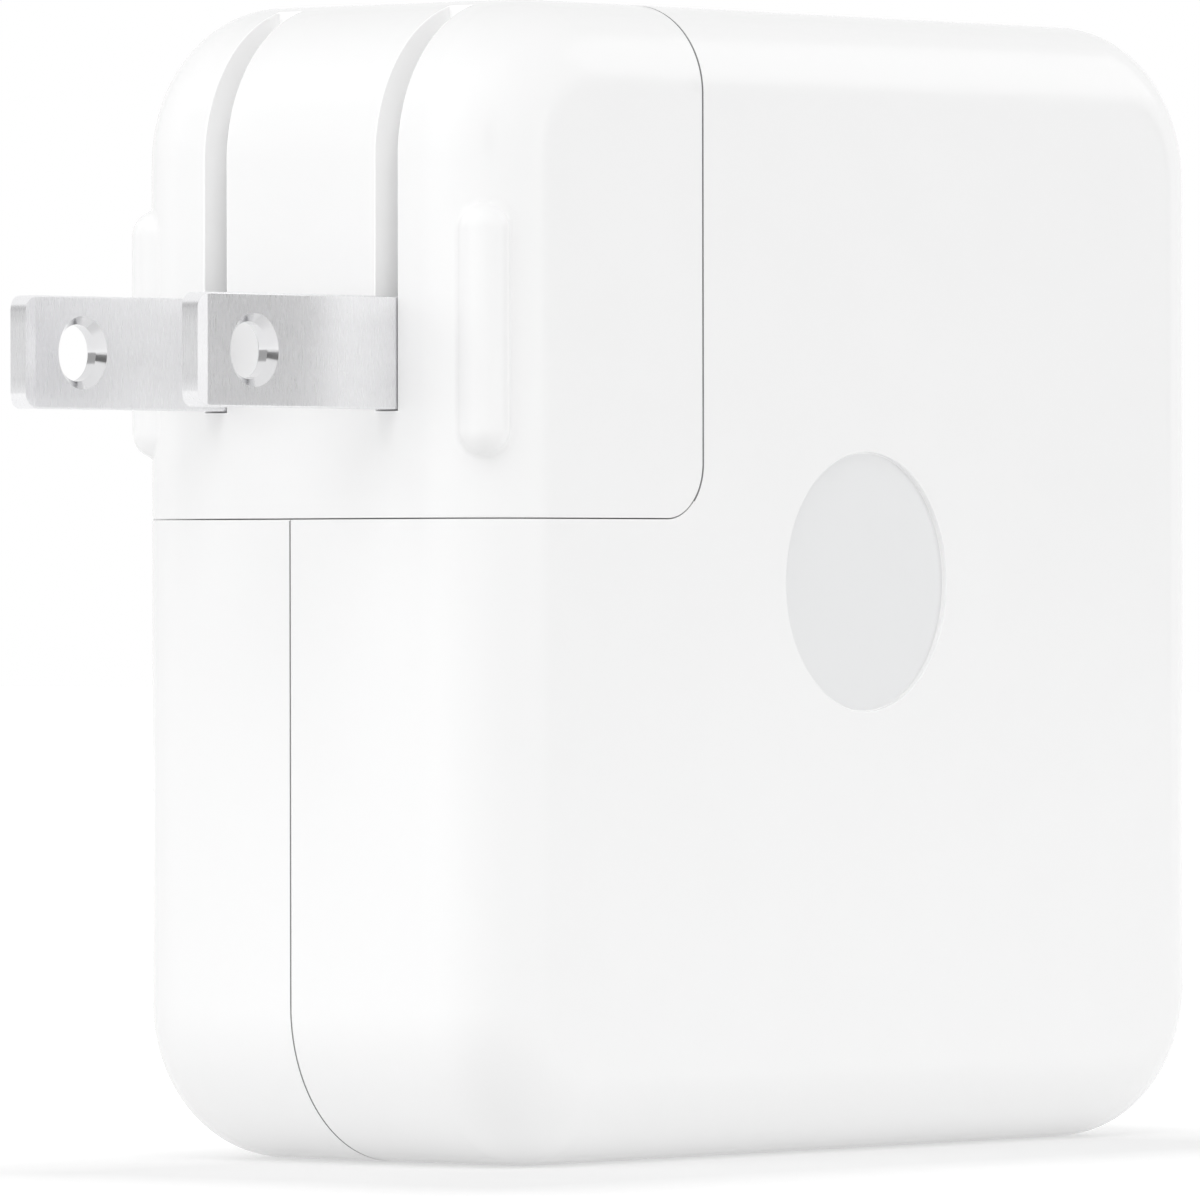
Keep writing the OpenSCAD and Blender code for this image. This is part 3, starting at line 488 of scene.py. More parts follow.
def case_half(name, side):
    """A hollow half of the case, its rim stepped for the tongue (near) or the groove (far)."""
    fit = FIT if side > 0 else 0
    start = PARTING_Y + side * PARTING_GAP / 2
    ledge = PARTING_Y + TONGUE_H + fit
    step = CASE_WALL - TONGUE_T - fit
    skin = Skin()
    outer = half_surface(skin, side, 0, SEAM_LIP, PARTING_LIP, start)
    inner = half_surface(skin, side, CASE_WALL, 0, 0, ledge)
    skin.grid([outer, rim_loop(step, start), rim_loop(step, ledge), inner], closed=True)
    half = skin.build(name)
    notch_x, notch_z, _ = notch_walls(0)
    combine(half, block(((INLET_X - INLET_HALF_X, -INLET_HALF_Y - FIT, notch_z - CASE_WALL - PAST),
                         (INLET_X + INLET_HALF_X, INLET_HALF_Y + FIT, notch_z + PAST))))
    combine(half, turned((notch_x - PAST, 0, SEAM_Z + STUD_RISE), (1, 0, 0),
                         [(0, STUD_HOLE_R), (CASE_WALL + 2 * PAST, STUD_HOLE_R)]))
    combine(half, port_tool())
    return half


def port_tool():
    """Stadium hole through the rear wall with a flared mouth."""
    places = [(CASE_L - CASE_WALL - PAST, 0), (CASE_L - PORT_FLARE, 0)]
    places += [(CASE_L - PORT_FLARE * (1 - s), PORT_FLARE * (1 - c))
               for s, c in quarter(FLARE_STEPS)[1:]]
    places.append((CASE_L + PAST, PORT_FLARE))
    reach = (PORT_W - PORT_T) / 2
    turn = [math.pi * k / MOUTH_STEPS for k in range(MOUTH_STEPS + 1)]
    rings = []
    for x, grow in places:
        r = PORT_T / 2 + FIT + grow
        ring = [(x, r * math.cos(a), PORT_Z + reach + r * math.sin(a)) for a in turn]
        ring += [(x, -r * math.cos(a), PORT_Z - reach - r * math.sin(a)) for a in turn]
        rings.append(ring)
    skin = Skin()
    skin.loft(rings)
    return skin.build("tool")


def recess_tool():
    """Shallow round sink in the near face with softened edges."""
    e = RECESS_EDGE
    profile = [(-PAST, RECESS_R + e)]
    profile += [(e * (1 - c), RECESS_R + e * (1 - s)) for s, c in quarter(LIP_STEPS)]
    profile += [(RECESS_DEPTH - e * (1 - s), RECESS_R - e * (1 - c)) for s, c in quarter(LIP_STEPS)]
    return turned((CASE_L / 2, -HALF_T, CASE_H / 2), (0, 1, 0), profile, RECESS_STEPS, end=RECESS_AND_PAINTED_LIGHT)


def add_posts(half):
    """Posts of the far half that the board rests on."""
    foot = HALF_T - CASE_WALL / 2
    for x, z in POST_PLACES:
        profile = [(0, POST_R - POST_EASE), (POST_EASE, POST_R), (foot - BOARD_BACK, POST_R)]
        combine(half, turned((x, BOARD_BACK, z), (0, 1, 0), profile, POST_STEPS), "UNION")


# ---- wall plug ----


def rib_height(point, normal):
    """How far the skin stands out over a rib, whose foot is blended into the skin."""
    low = Vector((RIB_X, math.copysign(RIB_Y, point.y), RIB_Z))

    def field(t):
        p = point + normal * t
        z = min(max(p.z, low.z), low.z + RIB_SPAN)
        rib = (p - Vector((low.x, low.y, z))).length - RIB_R
        h = max(RIB_BLEND - abs(t - rib), 0) / RIB_BLEND
        return min(t, rib) - h * h * RIB_BLEND / 4

    if field(0.0) >= 0:
        return 0.0
    inside, outside = 0.0, 2 * RIB_R
    for _ in range(RIB_HALVINGS):
        t = (inside + outside) / 2
        if field(t) < 0:
            inside = t
        else:
            outside = t
    return inside


def plug_path(inset, lip, slot_lip):
    """From the seam along the top, round the corner and down the plug face to the seam.

    Returns it with the places along it where the blade slots start and end.
    """
    r = CORNER_R - inset
    centre = (CORNER_R, CASE_H - CORNER_R)
    high = CASE_H - inset
    turn = math.degrees(math.acos((SLOT_DEPTH + slot_lip - centre[0]) / r))
    x_cut, z_cut = SEAM_X - SEAM_GAP / 2 - lip, SEAM_Z + SEAM_GAP / 2 + lip
    top = chain(straight((x_cut, high), (centre[0], high), (0, 1)),
                arc(centre, r, 90, turn, ABOVE_SLOT_STEPS))
    slot_end = (inset, SLOT_LOW - slot_lip)
    slot = chain(arc(centre, r, turn, 180, SLOT_BEND_STEPS),
                 straight((inset, centre[1]), slot_end, (-1, 0), SLOT_DROP_STEPS))
    low = straight(slot_end, (inset, z_cut), (-1, 0), BELOW_SLOT_STEPS)
    first = len(top) - 1
    return chain(top, slot, low), first, first + len(slot) - 1


def plug_surface(skin, inset, lip, slot_lip):
    """One skin of the plug, with its blade slots left open; returns its seam and slot rims."""
    half = SLOT_HALF + slot_lip
    edges = [-BLADE_Y - half, -BLADE_Y + half, BLADE_Y - half, BLADE_Y + half]
    profile = full_profile(inset, edges)
    path, first, last = plug_path(inset, lip, slot_lip)
    columns = [min(range(len(profile)), key=lambda j: abs(profile[j][1] - y)) for y in edges]
    spans = [columns[:2], columns[2:]]
    rows = []
    for p in path:
        row = []
        for d, y, nd, ny in profile:
            v = on_path(p, d, y)
            if inset == 0 and abs(y) > FLAT_Y:
                normal = Vector((p[2] * nd, ny, p[3] * nd))
                v = v + normal * rib_height(v, normal)
            row.append(v)
        rows.append(row)
    skin.grid(rows, keep=lambda i, j: not (first <= i < last and any(a <= j < b for a, b in spans)))

    x_cut, z_cut, r = SEAM_X - SEAM_GAP / 2, SEAM_Z + SEAM_GAP / 2, SEAM_R - SEAM_GAP / 2
    far = seam_side(1, inset, x_cut, z_cut, r, -1)
    near = seam_side(-1, inset, x_cut, z_cut, r, -1)
    curve = (seam_front(profile, inset, z_cut, -1) + far
             + seam_top(profile, inset, x_cut, -1) + near[::-1])
    seam_rows = lip_rows(curve, lip)
    band = len(profile)
    far_edge = seam_rows[0][band:band + len(far)]
    near_edge = seam_rows[0][2 * band + len(far):][::-1]
    skin.face([row[-1] for row in rows] + far_edge)
    skin.face([row[0] for row in rows] + near_edge)
    rims = [window_rows(rows, path, first, last, a, b, slot_lip) for a, b in spans]
    return seam_rows, rims


def window_rows(rows, path, first, last, a, b, lip):
    """Rows of points over the lip of a blade slot, from the skin to the slot's wall."""
    def sample(i, j):
        p = path[i]
        along = Vector((-p[3], 0, p[2]))
        away = Vector((0, (j == b) - (j == a), 0)) + along * ((i == last) - (i == first))
        return rows[i][j], away, Vector((-p[2], 0, -p[3]))

    ring = [sample(i, a) for i in range(first, last)]
    ring += [sample(last, j) for j in range(a, b)]
    ring += [sample(i, b) for i in range(last, first, -1)]
    ring += [sample(first, j) for j in range(b, a, -1)]
    return [[v - m * lip * s + n * lip * (1 - c) for v, m, n in ring]
            for s, c in quarter(LIP_STEPS)]


def plug_skin():
    """Hollow shell of the plug with its ribs and the mouths of its blade slots."""
    skin = Skin()
    seam_out, slots_out = plug_surface(skin, 0, SEAM_LIP, SLOT_LIP)
    seam_in, slots_in = plug_surface(skin, PLUG_WALL, 0, 0)
    skin.grid(seam_out + [seam_in[0]], closed=True, finish=seam_finish(seam_out))
    for out, inner in zip(slots_out, slots_in):
        # the slots' lips and walls take the slots' painted light
        skin.grid(out + [inner[0]], closed=True, finish=lambda i, j: RECESS_AND_PAINTED_LIGHT)
    return skin.build("plug_skin")


def pillow(inset):
    """The whole soft-cornered block at this inset, as a tool with flat broad faces."""
    profile = full_profile(inset, [])
    r = CORNER_R - inset
    low, high = inset, CASE_H - inset
    left, right = inset, CASE_L - inset
    path = chain(
        arc((left + r, low + r), r, 180, 270),
        straight((left + r, low), (right - r, low), (0, -1)),
        arc((right - r, low + r), r, 270, 360),
        straight((right, low + r), (right, high - r), (1, 0)),
        arc((right - r, high - r), r, 0, 90),
        straight((right - r, high), (left + r, high), (0, 1)),
        arc((left + r, high - r), r, 90, 180),
        straight((left, high - r), (left, low + r), (-1, 0)),
    )[:-1]
    skin = Skin()
    skin.loft([[on_path(p, d, y) for p in path] for d, y, _, _ in profile])
    return skin.build("tool")


def slot_housings():
    """Pockets behind the plug's slots, with saddles that carry the blades' hub."""
    half = SLOT_HALF + POCKET_EASE
    back = SLOT_DEPTH + POCKET_EASE
    outer = half + SLOT_WALL
    housing = block(*[((0, s * BLADE_Y - outer, SLOT_LOW - SLOT_WALL),
                       (back + SLOT_WALL, s * BLADE_Y + outer, CASE_H)) for s in (-1, 1)])
    housing.name = "slot_housings"
    combine(housing, pillow(PLUG_WALL / 2), "INTERSECT")
    combine(housing, block(*[((-PAST, s * BLADE_Y - half, SLOT_LOW - POCKET_EASE),
                              (back, s * BLADE_Y + half, CASE_H + PAST)) for s in (-1, 1)]))
    combine(housing, block(*[((back - PAST, s * BLADE_Y - half, SLOT_LOW),
                              (back + SLOT_WALL + PAST, s * BLADE_Y + half, 2 * BLADE_Z - SLOT_LOW))
                             for s in (-1, 1)]))
    bore, reach = HUB_R + HUB_FIT, HUB_L / 2 + HUB_FIT
    combine(housing, turned((PIVOT_X, -reach, BLADE_Z), (0, 1, 0), [(0, bore), (2 * reach, bore)]))
    combine(housing, block(((PIVOT_X, -reach, BLADE_Z - bore),
                            (back + SLOT_WALL + PAST, reach, BLADE_Z + bore))))
    return housing


# ---- blades ----


def blade(name, y_middle):
    """Flat contact with eased edges, bevelled tip and a countersunk hole."""
    w, r, t, e = BLADE_W / 2, BLADE_TIP_R, BLADE_T / 2, BLADE_EDGE_R
    path = chain(
        arc((PIVOT_X, BLADE_Z), w, -90, 90, 2 * CORNER_STEPS),
        straight((PIVOT_X, BLADE_Z + w), (BLADE_TIP + r, BLADE_Z + w), (0, 1)),
        arc((BLADE_TIP + r, BLADE_Z + w - r), r, 90, 180, TIP_STEPS),
        straight((BLADE_TIP, BLADE_Z + w - r), (BLADE_TIP, BLADE_Z - w + r), (-1, 0)),
        arc((BLADE_TIP + r, BLADE_Z - w + r), r, 180, 270, TIP_STEPS),
        straight((BLADE_TIP + r, BLADE_Z - w), (PIVOT_X, BLADE_Z - w), (0, -1)),
    )[:-1]
    profile = [(e * (1 - s), -t + e * (1 - c)) for s, c in quarter(BLADE_EDGE_STEPS)]
    profile += [(d, -y) for d, y in profile[::-1]]
    skin = Skin()
    skin.loft([[on_path(p, d, y_middle + y) for p in path] for d, y in profile])
    obj = skin.build(name)
    hole = [(-t - HOLE_PAST, HOLE_R + HOLE_SINK + HOLE_PAST), (HOLE_SINK - t, HOLE_R)]
    hole += [(-h, radius) for h, radius in hole[::-1]]
    # the hole's faces take the smoother nickel, left darker than the flats: painted shade in the hole
    combine(obj, turned((BLADE_TIP + HOLE_IN, y_middle, BLADE_Z), (0, 1, 0),
                        hole, HOLE_STEPS, side=PAINTED_SHADE))
    combine(obj, turned((PIVOT_X, y_middle, BLADE_Z), (0, 1, 0),
                        [(-t - PAST, HUB_NECK_R), (t + PAST, HUB_NECK_R)]))
    slope = BEVEL_D / BEVEL_L
    for side in (-1, 1):
        wedge = [(-BEVEL_PAST, -BEVEL_D - BEVEL_PAST * slope), (BEVEL_L, 0),
                 (BEVEL_L, PAST), (-BEVEL_PAST, PAST)]
        wedge = [(BLADE_TIP + x, y_middle + side * (t + y)) for x, y in wedge]
        skin = Skin()
        skin.loft([[(x, y, z) for x, y in wedge] for z in (BLADE_Z - 2 * w, BLADE_Z + 2 * w)])
        combine(obj, skin.build("tool"))
    return obj


# ---- materials ----

# length of one band of Blender's wave texture, in the texture's own units
WAVE_BAND = math.pi / 10

# how much lighter or darker than the record's colour some faces are
# the blade's flats; the nickel in its hole is not lifted, which paints shade there
NICKEL_LIFT = 1.16
# painted shade on the inner steps of the seams' and the parting line's lips
SEAM_PAINTED_SHADE = 0.3
RECESS_TINT = 0.89
# painted light: the plastic in the blade slots, drawn lighter
SLOT_PAINTED_LIGHTER = 1.075

# painted light: a faint glow of the plastic in the blade slots, standing in for light that comes through its
# thickness
SLOT_PAINTED_GLOW = 0.03


class Material:
    """A node material whose colour, roughness and relief all vary over the surface."""

    def __init__(self, slot, colour, metallic=0.0):
        self.material = bpy.data.materials.new(slot)
        self.material.use_nodes = True
        self.tree = self.material.node_tree
        self.shader = self.tree.nodes["Principled BSDF"]
        self.shader.inputs["Metallic"].default_value = metallic
        self.colour = colour
        self.place = self.node("ShaderNodeTexCoord").outputs["Object"]

    def node(self, kind, **values):
        made = self.tree.nodes.new(kind)
        for key, value in values.items():
            setattr(made, key, value)
        return made

    def link(self, source, target):
        self.tree.links.new(source, target)

    def noise(self, grain, detail=3.0, roughness=0.55):
        """Noise with this grain, in mm along x, y and z."""
        mapping = self.node("ShaderNodeMapping")
        mapping.inputs["Scale"].default_value = [1 / (g * MM) for g in grain]
        self.link(self.place, mapping.inputs["Vector"])
        noise = self.node("ShaderNodeTexNoise")
        noise.inputs["Scale"].default_value = 1.0
        noise.inputs["Detail"].default_value = detail
        noise.inputs["Roughness"].default_value = roughness
        self.link(mapping.outputs["Vector"], noise.inputs["Vector"])
        return noise.outputs["Fac"]

    def bands(self, pitch, axis):
        """Rounded ridges across this axis, such as turns of wire, pitch in mm."""
        wave = self.node("ShaderNodeTexWave", bands_direction=axis)
        wave.inputs["Scale"].default_value = WAVE_BAND / (pitch * MM)
        wave.inputs["Distortion"].default_value = 0.6
        wave.inputs["Detail"].default_value = 1.0
        self.link(self.place, wave.inputs["Vector"])
        return wave.outputs["Fac"]

    def math(self, operation, first, second):
        node = self.node("ShaderNodeMath", operation=operation)
        self.link(first, node.inputs[0])
        self.link(second, node.inputs[1])
        return node.outputs[0]

    def ramp(self, source, low, high, span=(0.3, 0.7)):
        """Maps a value that goes over this span to numbers from low to high."""
        node = self.node("ShaderNodeMapRange")
        node.inputs["From Min"].default_value = span[0]
        node.inputs["From Max"].default_value = span[1]
        node.inputs["To Min"].default_value = low
        node.inputs["To Max"].default_value = high
        self.link(source, node.inputs["Value"])
        return node.outputs["Result"]

    def paint(self, texture, variation, span=(0.3, 0.7)):
        """Base colour between a darker and a lighter shade."""
        node = self.node("ShaderNodeMix", data_type="RGBA")
        colours = [s for s in node.inputs if s.type == "RGBA"]
        colours[0].default_value = (*[c * (1 - variation) for c in self.colour], 1)
        colours[1].default_value = (*[min(c * (1 + variation), 1) for c in self.colour], 1)
        self.link(self.ramp(texture, 0, 1, span), node.inputs[0])
        mixed = next(s for s in node.outputs if s.type == "RGBA")
        self.link(mixed, self.shader.inputs["Base Color"])

    def gloss(self, texture, low, high):
        self.link(self.ramp(texture, low, high), self.shader.inputs["Roughness"])

    def relief(self, texture, depth):
        """Bump whose height is depth, in mm."""
        bump = self.node("ShaderNodeBump")
        bump.inputs["Distance"].default_value = depth * MM
        self.link(texture, bump.inputs["Height"])
        self.link(bump.outputs["Normal"], self.shader.inputs["Normal"])


def moulded(slot, colour, roughness=(0.4, 0.55), variation=0.03, grain=0.25, depth=0.004):
    """Moulded plastic: cloudy colour, fine spark texture."""
    m = Material(slot, colour)
    m.paint(m.noise((9, 9, 9)), variation)
    m.gloss(m.noise((3, 3, 3)), *roughness)
    m.relief(m.noise((grain, grain, grain)), depth)
    return m


def metal(slot, colour, roughness=(0.25, 0.4), grain=(0.08, 0.08, 2.5)):
    """Bare or plated metal with grain drawn out along its longest entry."""
    m = Material(slot, colour, metallic=1.0)
    m.paint(m.noise((6, 6, 6)), 0.04)
    texture = m.noise(grain, 4.0)
    m.gloss(texture, *roughness)
    m.relief(texture, 0.002)
    return m


def wound(slot, colour, pitch, metallic=0.0, roughness=(0.25, 0.4), depth=0.12):
    """Turns of wire or tape, one above the other, painted darker in the grooves and lighter on the crests."""
    m = Material(slot, colour, metallic)
    turns = m.bands(pitch, "Z")
    # colour follows the turns' relief: painted shade in the grooves, painted highlight on the crests
    m.paint(turns, 0.16, (0, 1))
    m.gloss(m.noise((2, 2, 2)), *roughness)
    m.relief(turns, depth)
    return m


def white_shell(slot, colour):
    """Glossy white polycarbonate: a neutral white, as light as the colour given."""
    m = Material(slot, [sum(colour) / 3] * 3)
    m.paint(m.noise((14, 14, 14)), 0.004)
    m.gloss(m.noise((5, 5, 5)), 0.15, 0.19)
    m.relief(m.noise((0.9, 0.9, 0.9), 2.0), 0.0006)
    return m


def slot_white(slot, colour):
    """The same plastic in the blade slots, drawn lighter and glowing faintly: painted light that stands in for
    light coming through its thickness.
    """
    m = white_shell(slot, tinted(colour, SLOT_PAINTED_LIGHTER))
    m.shader.inputs["Emission Color"].default_value = (1, 1, 1, 1)
    m.shader.inputs["Emission Strength"].default_value = SLOT_PAINTED_GLOW
    return m


def tinted(colour, factor):
    """The colour, lighter or darker by this factor."""
    return [c * factor for c in colour]


def blade_nickel(slot, colour):
    """Satin nickel with a fine grain across the blade."""
    m = Material(slot, tinted(colour, NICKEL_LIFT), metallic=1.0)
    m.paint(m.noise((7, 7, 3)), 0.03)
    rolled = m.noise((0.05, 0.05, 1.6), 4.0)
    m.gloss(rolled, 0.25, 0.32)
    m.relief(rolled, 0.00035)
    return m


def turned_nickel(slot, colour):
    """Nickel in a drilled and countersunk hole, smoother than the rolled flats and darker, without their
    NICKEL_LIFT: painted shade in the hole.
    """
    m = Material(slot, colour, metallic=1.0)
    m.paint(m.noise((3, 3, 3)), 0.03)
    m.gloss(m.noise((2, 2, 2)), 0.12, 0.18)
    m.relief(m.noise((0.5, 0.5, 0.5)), 0.0008)
    return m


def laminate(slot, colour):
    """Solder mask over woven glass."""
    m = Material(slot, colour)
    weave = m.math("MULTIPLY", m.bands(0.5, "X"), m.bands(0.5, "Z"))
    m.paint(weave, 0.12, (0, 1))
    m.gloss(m.noise((4, 4, 4)), 0.25, 0.4)
    m.relief(weave, 0.01)
    return m


def ferrite(slot, colour):
    """Pressed and fired powder."""
    m = Material(slot, colour)
    powder = m.noise((0.15, 0.15, 0.15), 5.0, 0.7)
    m.paint(powder, 0.35)
    m.gloss(m.noise((2, 2, 2)), 0.55, 0.75)
    m.relief(powder, 0.02)
    return m


def film(slot, colour):
    """Thin insulating film with a faint waviness."""
    m = Material(slot, colour)
    m.paint(m.noise((12, 12, 12)), 0.05)
    m.gloss(m.noise((6, 6, 6)), 0.15, 0.25)
    m.relief(m.noise((8, 8, 8), 1.0), 0.08)
    return m


# coat that a part was dipped in
DIPPED = {"roughness": (0.3, 0.45), "variation": 0.07, "grain": 1.2, "depth": 0.03}

# how each slot of the record is made, where it isn't plain moulded plastic
FINISHES = {
    "white_shell": (white_shell, {}),
    "blade_nickel": (blade_nickel, {}),
    "board_laminate": (laminate, {}),
    "ferrite": (ferrite, {}),
    "sheet_film": (film, {}),
    "spring_steel": (metal, {}),
    "contact_brass": (metal, {}),
    "pin_brass": (metal, {}),
    "stud_steel": (metal, {}),
    "tinned_wire": (metal, {}),
    "contact_gold": (metal, {}),
    "spreader_copper": (metal, {"roughness": (0.3, 0.45), "grain": (3.0, 0.1, 0.1)}),
    "heatsink_aluminium": (metal, {"roughness": (0.35, 0.5), "grain": (3.0, 0.1, 0.1)}),
    "capacitor_can": (metal, {"roughness": (0.25, 0.35), "grain": (0.1, 0.1, 2.0)}),
    "port_steel": (metal, {"roughness": (0.22, 0.32), "grain": (2.0, 0.06, 0.06)}),
    "enamelled_copper": (wound, {"pitch": 0.6, "metallic": 1.0}),
    "winding_tape": (wound, {"pitch": 2.5, "roughness": (0.3, 0.45), "depth": 0.04}),
    "varistor_coat": (moulded, DIPPED),
    "safety_coat": (moulded, DIPPED),
    "capacitor_sleeve": (moulded, {"roughness": (0.2, 0.3), "variation": 0.04,
                                   "grain": 1.5, "depth": 0.01}),
    "bung_rubber": (moulded, {"roughness": (0.7, 0.85), "variation": 0.08,
                              "grain": 0.3, "depth": 0.01}),
    "pad_silicone": (moulded, {"roughness": (0.65, 0.8), "variation": 0.05,
                               "grain": 0.4, "depth": 0.02}),
    "choke_coating": (moulded, {"roughness": (0.35, 0.5), "variation": 0.07,
                                "grain": 0.8, "depth": 0.02}),
}


def seam_shade(slot, colour):
    """The white plastic darkened on a seam's inner lip steps: painted shade."""
    return moulded(slot, tinted(colour, SEAM_PAINTED_SHADE))


def recess_floor(slot, colour):
    """The white plastic on the floor of the round recess, a little duller."""
    return moulded(slot, tinted(colour, RECESS_TINT),
                   roughness=(0.3, 0.36), variation=0.006, grain=0.5, depth=0.001)


# finishes that some faces of a piece have, each with the slot whose colour it starts from
FACE_FINISHES = {
    "seam_shade": (seam_shade, "white_shell"),
    "recess_inlay": (recess_floor, "white_shell"),
    "slot_white": (slot_white, "white_shell"),
    "turned_nickel": (turned_nickel, "blade_nickel"),
}


def make_materials():
    """A material for each slot of the record, in the record's colour, and each face finish."""
    colours = {entry["slot"]: entry["base_color"][:3] for entry in frame["record"]["materials"]}
    made = {}
    for slot, colour in colours.items():
        build, looks = FINISHES.get(slot, (moulded, {}))
        made[slot] = build(slot, colour, **looks).material
    for name, (build, slot) in FACE_FINISHES.items():
        made[name] = build(name, colours[slot]).material
    return made


def wear(obj, *finishes):
    """One finish for the whole mesh, or one for each of BODY, PAINTED_SHADE and RECESS_AND_PAINTED_LIGHT."""
    for place, finish in enumerate(finishes):
        obj.data.materials[place] = finish
    while len(obj.data.materials) > len(finishes):
        obj.data.materials.pop()


# ---- stage, in metres and degrees unless it says otherwise ----

# camera fitted to the blades, the seams and the outline; its lens and sensor are in millimetres
CAMERA_PLACE = (-0.5907, -0.4765, 0.03302)
CAMERA_AZIMUTH = -50.76
CAMERA_PITCH = 0.08
CAMERA_ROLL = -0.09
CAMERA_LENS = 389.06
CAMERA_SENSOR = 36
CAMERA_CLIP = (0.05, 20)

# floor: half its width in millimetres, its colour and its own glow, with which it looks white
# except near the object, where its real shadow stays and the lifts below paint more shadow
FLOOR_REACH = 2500
FLOOR_TONE = (0.54, 0.54, 0.54)
FLOOR_GLOW = 0.34

# the rectangle of the floor round which its extra glow is held back, a painted shadow over the object's real one:
# its middle and half its size
PAINTED_SHADOW_CENTRE = (-0.012, -0.01, 0)
PAINTED_SHADOW_HALF = (0.034, 0.014, 0)

# extra glow of the floor: how much, and between which distances from that rectangle it grows; missing near it, it
# paints a shadow there
FLOOR_LIFTS = [(0.23, (0.001, 0.02)), (0.25, (0.2, 1.5))]

# grey cards in millimetres: compass angle in degrees, width, lowest and highest place, tone
FLAG_DISTANCE = 2150
FLAG_COLOUR = (0.02, 0.02, 0.02)
FLAGS = {
    "flag_flats": (-39, 1150, (0, 480), 0.19),
    "flag_tips": (141, 900, (0, 1500), 0.42),
    "flag_sinks": (-128, 450, (200, 950), 0.05),
}

# light that comes from all round
AMBIENT = 0.465

# lamps: place, width and height, watts; lamp_rear lights only what the camera doesn't see
LAMPS = {
    "lamp_left_back": ((-1.0, 0.75, 0.2), (0.8, 0.8), 2.5),
    "lamp_left": ((-1.25, 0.0, 0.12), (0.8, 0.8), 2.0),
    "lamp_left_up": ((-0.9, 0.1, 0.9), (0.8, 0.8), 2.8),
    "lamp_top_front": ((-0.5, -0.5, 1.1), (0.8, 0.8), 3.8),
    "lamp_right_low": ((0.8, -1.0, 0.2), (0.8, 0.3), 3.95),
    "lamp_front_low": ((-0.9, -0.85, 0.06), (0.8, 0.25), 1.1),
    "lamp_rear": ((0.95, 0.85, 0.15), (0.8, 0.5), 5.0),
    "lamp_band": ((1.0, -0.45, 0.62), (0.8, 0.5), 0.62),
}

# the lamp whose reflection lies along the top edge
LAMP_IN_REFLECTIONS = "lamp_band"


def place_camera():
    """The camera, with the picture upright apart from a slight roll."""
    a, e, r = (math.radians(v) for v in (CAMERA_AZIMUTH, CAMERA_PITCH, CAMERA_ROLL))
    back = Vector((math.sin(a) * math.cos(e), -math.cos(a) * math.cos(e), math.sin(e)))
    level = Vector((math.cos(a), math.sin(a), 0))
    up = back.cross(level)
    right = math.cos(r) * level + math.sin(r) * up
    over = -math.sin(r) * level + math.cos(r) * up
    data = bpy.data.cameras.new("camera")
    data.lens = CAMERA_LENS
    data.sensor_width = CAMERA_SENSOR
    data.clip_start, data.clip_end = CAMERA_CLIP
    camera = bpy.data.objects.new("camera", data)
    turn = Matrix((right, over, back)).transposed().to_4x4()
    camera.matrix_world = Matrix.Translation(CAMERA_PLACE) @ turn
    bpy.context.scene.collection.objects.link(camera)
    bpy.context.scene.camera = camera


def softbox(name, place, size, watts):
    """Lamp that faces the middle of the object."""
    data = bpy.data.lights.new(name, "AREA")
    data.shape = "RECTANGLE"
    data.size, data.size_y = size
    data.energy = watts
    lamp = bpy.data.objects.new(name, data)
    lamp.visible_glossy = name == LAMP_IN_REFLECTIONS
    way = Vector((0, 0, CASE_H / 2 * MM)) - Vector(place)
    turn = way.to_track_quat("-Z", "Y").to_matrix().to_4x4()
    lamp.matrix_world = Matrix.Translation(place) @ turn
    bpy.context.scene.collection.objects.link(lamp)


def seen_directly(tree):
    """1 for rays from the camera and for those that metal and gloss send on, else 0."""
    path = tree.nodes.new("ShaderNodeLightPath")
    seen = path.outputs["Is Camera Ray"]
    for ray in ("Is Glossy Ray", "Is Transmission Ray"):
        either = tree.nodes.new("ShaderNodeMath")
        either.operation = "MAXIMUM"
        tree.links.new(seen, either.inputs[0])
        tree.links.new(path.outputs[ray], either.inputs[1])
        seen = either.outputs[0]
    return seen


def white_world():
    """White to the camera and in reflections, and AMBIENT where it lights the object."""
    world = bpy.data.worlds.new("studio")
    bpy.context.scene.world = world
    world.use_nodes = True
    tree = world.node_tree
    background = tree.nodes["Background"]
    background.inputs["Color"].default_value = (1, 1, 1, 1)
    level = tree.nodes.new("ShaderNodeMapRange")
    level.inputs["To Min"].default_value = AMBIENT
    level.inputs["To Max"].default_value = 1.0
    tree.links.new(seen_directly(tree), level.inputs["Value"])
    tree.links.new(level.outputs["Result"], background.inputs["Strength"])


def distance_from_object(m):
    """How far a point of the floor lies from the rectangle round which its glow is held back, a painted shadow."""
    away = m.place
    for operation, value in (("SUBTRACT", PAINTED_SHADOW_CENTRE), ("ABSOLUTE", ()), ("SUBTRACT", PAINTED_SHADOW_HALF),
                             ("MAXIMUM", (0, 0, 0)), ("LENGTH", ())):
        step = m.node("ShaderNodeVectorMath", operation=operation)
        m.link(away, step.inputs[0])
        if value:
            step.inputs[1].default_value = value
        away = step.outputs["Value" if operation == "LENGTH" else "Vector"]
    return away


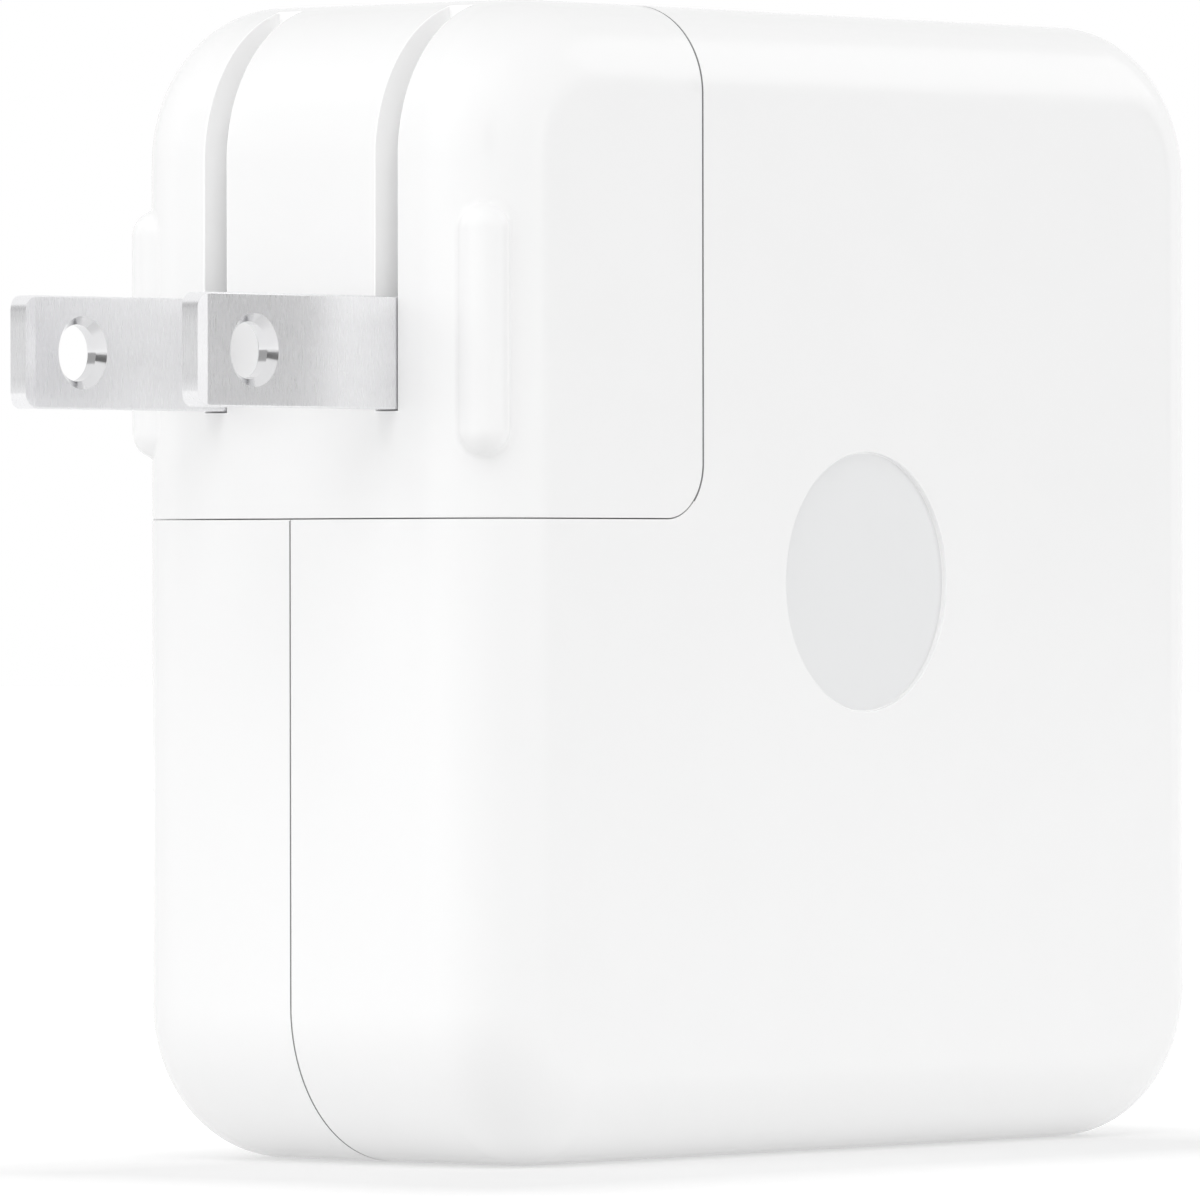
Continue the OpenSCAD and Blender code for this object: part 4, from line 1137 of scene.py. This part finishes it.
def make_floor():
    """Pale floor that looks white away from the object; near it the extra glow is held back, a painted shadow over
    the real one.
    """
    r = FLOOR_REACH
    skin = Skin()
    skin.face([(-r, -r, 0), (r, -r, 0), (r, r, 0), (-r, r, 0)])
    floor = skin.build("floor")
    m = Material("floor_card", FLOOR_TONE)
    m.paint(m.noise((60, 60, 60)), 0.004)
    m.gloss(m.noise((8, 8, 8)), 0.75, 0.85)
    m.relief(m.noise((0.8, 0.8, 0.8)), 0.01)
    m.shader.inputs["Emission Color"].default_value = (1, 1, 1, 1)
    # the extra glow grows with distance from the object, so near it the floor keeps a painted shadow
    away = distance_from_object(m)
    lift = m.math("ADD", *[m.ramp(away, 0, high, span) for high, span in FLOOR_LIFTS])
    seen_lift = m.math("MULTIPLY", lift, seen_directly(m.tree))
    glow = m.ramp(seen_lift, FLOOR_GLOW, FLOOR_GLOW + 1, (0, 1))
    m.link(glow, m.shader.inputs["Emission Strength"])
    wear(floor, m.material)


def make_flag(name, azimuth, width, heights, tone):
    """Grey card that only reflections show, so that the metal facing it doesn't go white."""
    a = math.radians(azimuth)
    middle = Vector((math.cos(a), math.sin(a), 0)) * FLAG_DISTANCE
    along = Vector((-math.sin(a), math.cos(a), 0)) * width / 2
    skin = Skin()
    skin.grid([[middle + side * along + Vector((0, 0, z)) for side in (-1, 1)] for z in heights])
    flag = skin.build(name)
    m = Material(name, FLAG_COLOUR)
    m.paint(m.noise((90, 90, 90)), 0.02)
    m.gloss(m.noise((8, 8, 8)), 0.7, 0.8)
    m.relief(m.noise((0.8, 0.8, 0.8)), 0.01)
    m.shader.inputs["Emission Color"].default_value = (tone, tone, tone, 1)
    m.shader.inputs["Emission Strength"].default_value = 1.0
    wear(flag, m.material)
    flag.visible_camera = False
    flag.visible_diffuse = False
    flag.visible_shadow = False


# ---- assembly ----


def add_piece(obj, body, finishes, replaced):
    """Gives a piece its finishes and the body it moves with, and hides the node it stands for."""
    smooth(obj)
    wear(obj, *finishes)
    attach(obj, body)
    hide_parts(replaced)


def build_all():
    """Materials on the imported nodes, and the pieces that stand for the nodes that show."""
    materials = make_materials()
    for node in frame["nodes"].values():
        for place in node.material_slots:
            place.material = materials[place.material.name.split(".")[0]]
    # the white plastic, and its painted shade for the seams' lips
    white = [materials[name] for name in ("white_shell", "seam_shade")]
    # the blade's nickel, and the darker nickel that paints shade in its hole
    nickel = [materials[name] for name in ("blade_nickel", "turned_nickel")]
    # the recess's duller plastic, and the slots' plastic with its painted light, also on the housings
    in_recess, slots_painted_light = materials["recess_inlay"], materials["slot_white"]
    near = case_half("case_skin_near", -1)
    combine(near, recess_tool())
    add_piece(near, "adapter", white + [in_recess], "case_near")
    far = case_half("case_skin_far", 1)
    add_posts(far)
    add_piece(far, "adapter", white, "case_far")
    add_piece(plug_skin(), "wall_plug", white + [slots_painted_light], "plug_shell")
    add_piece(slot_housings(), "wall_plug", [slots_painted_light], "plug_shell")
    add_piece(blade("contact_blade_near", -BLADE_Y), "blades", nickel, "blade_near")
    add_piece(blade("contact_blade_far", BLADE_Y), "blades", nickel, "blade_far")


def set_stage():
    """Floor, cards, camera, world and lamps."""
    make_floor()
    for name, values in FLAGS.items():
        make_flag(name, *values)
    place_camera()
    white_world()
    for name, values in LAMPS.items():
        softbox(name, *values)


bpy.context.scene.view_settings.view_transform = "Standard"
build_all()
set_stage()
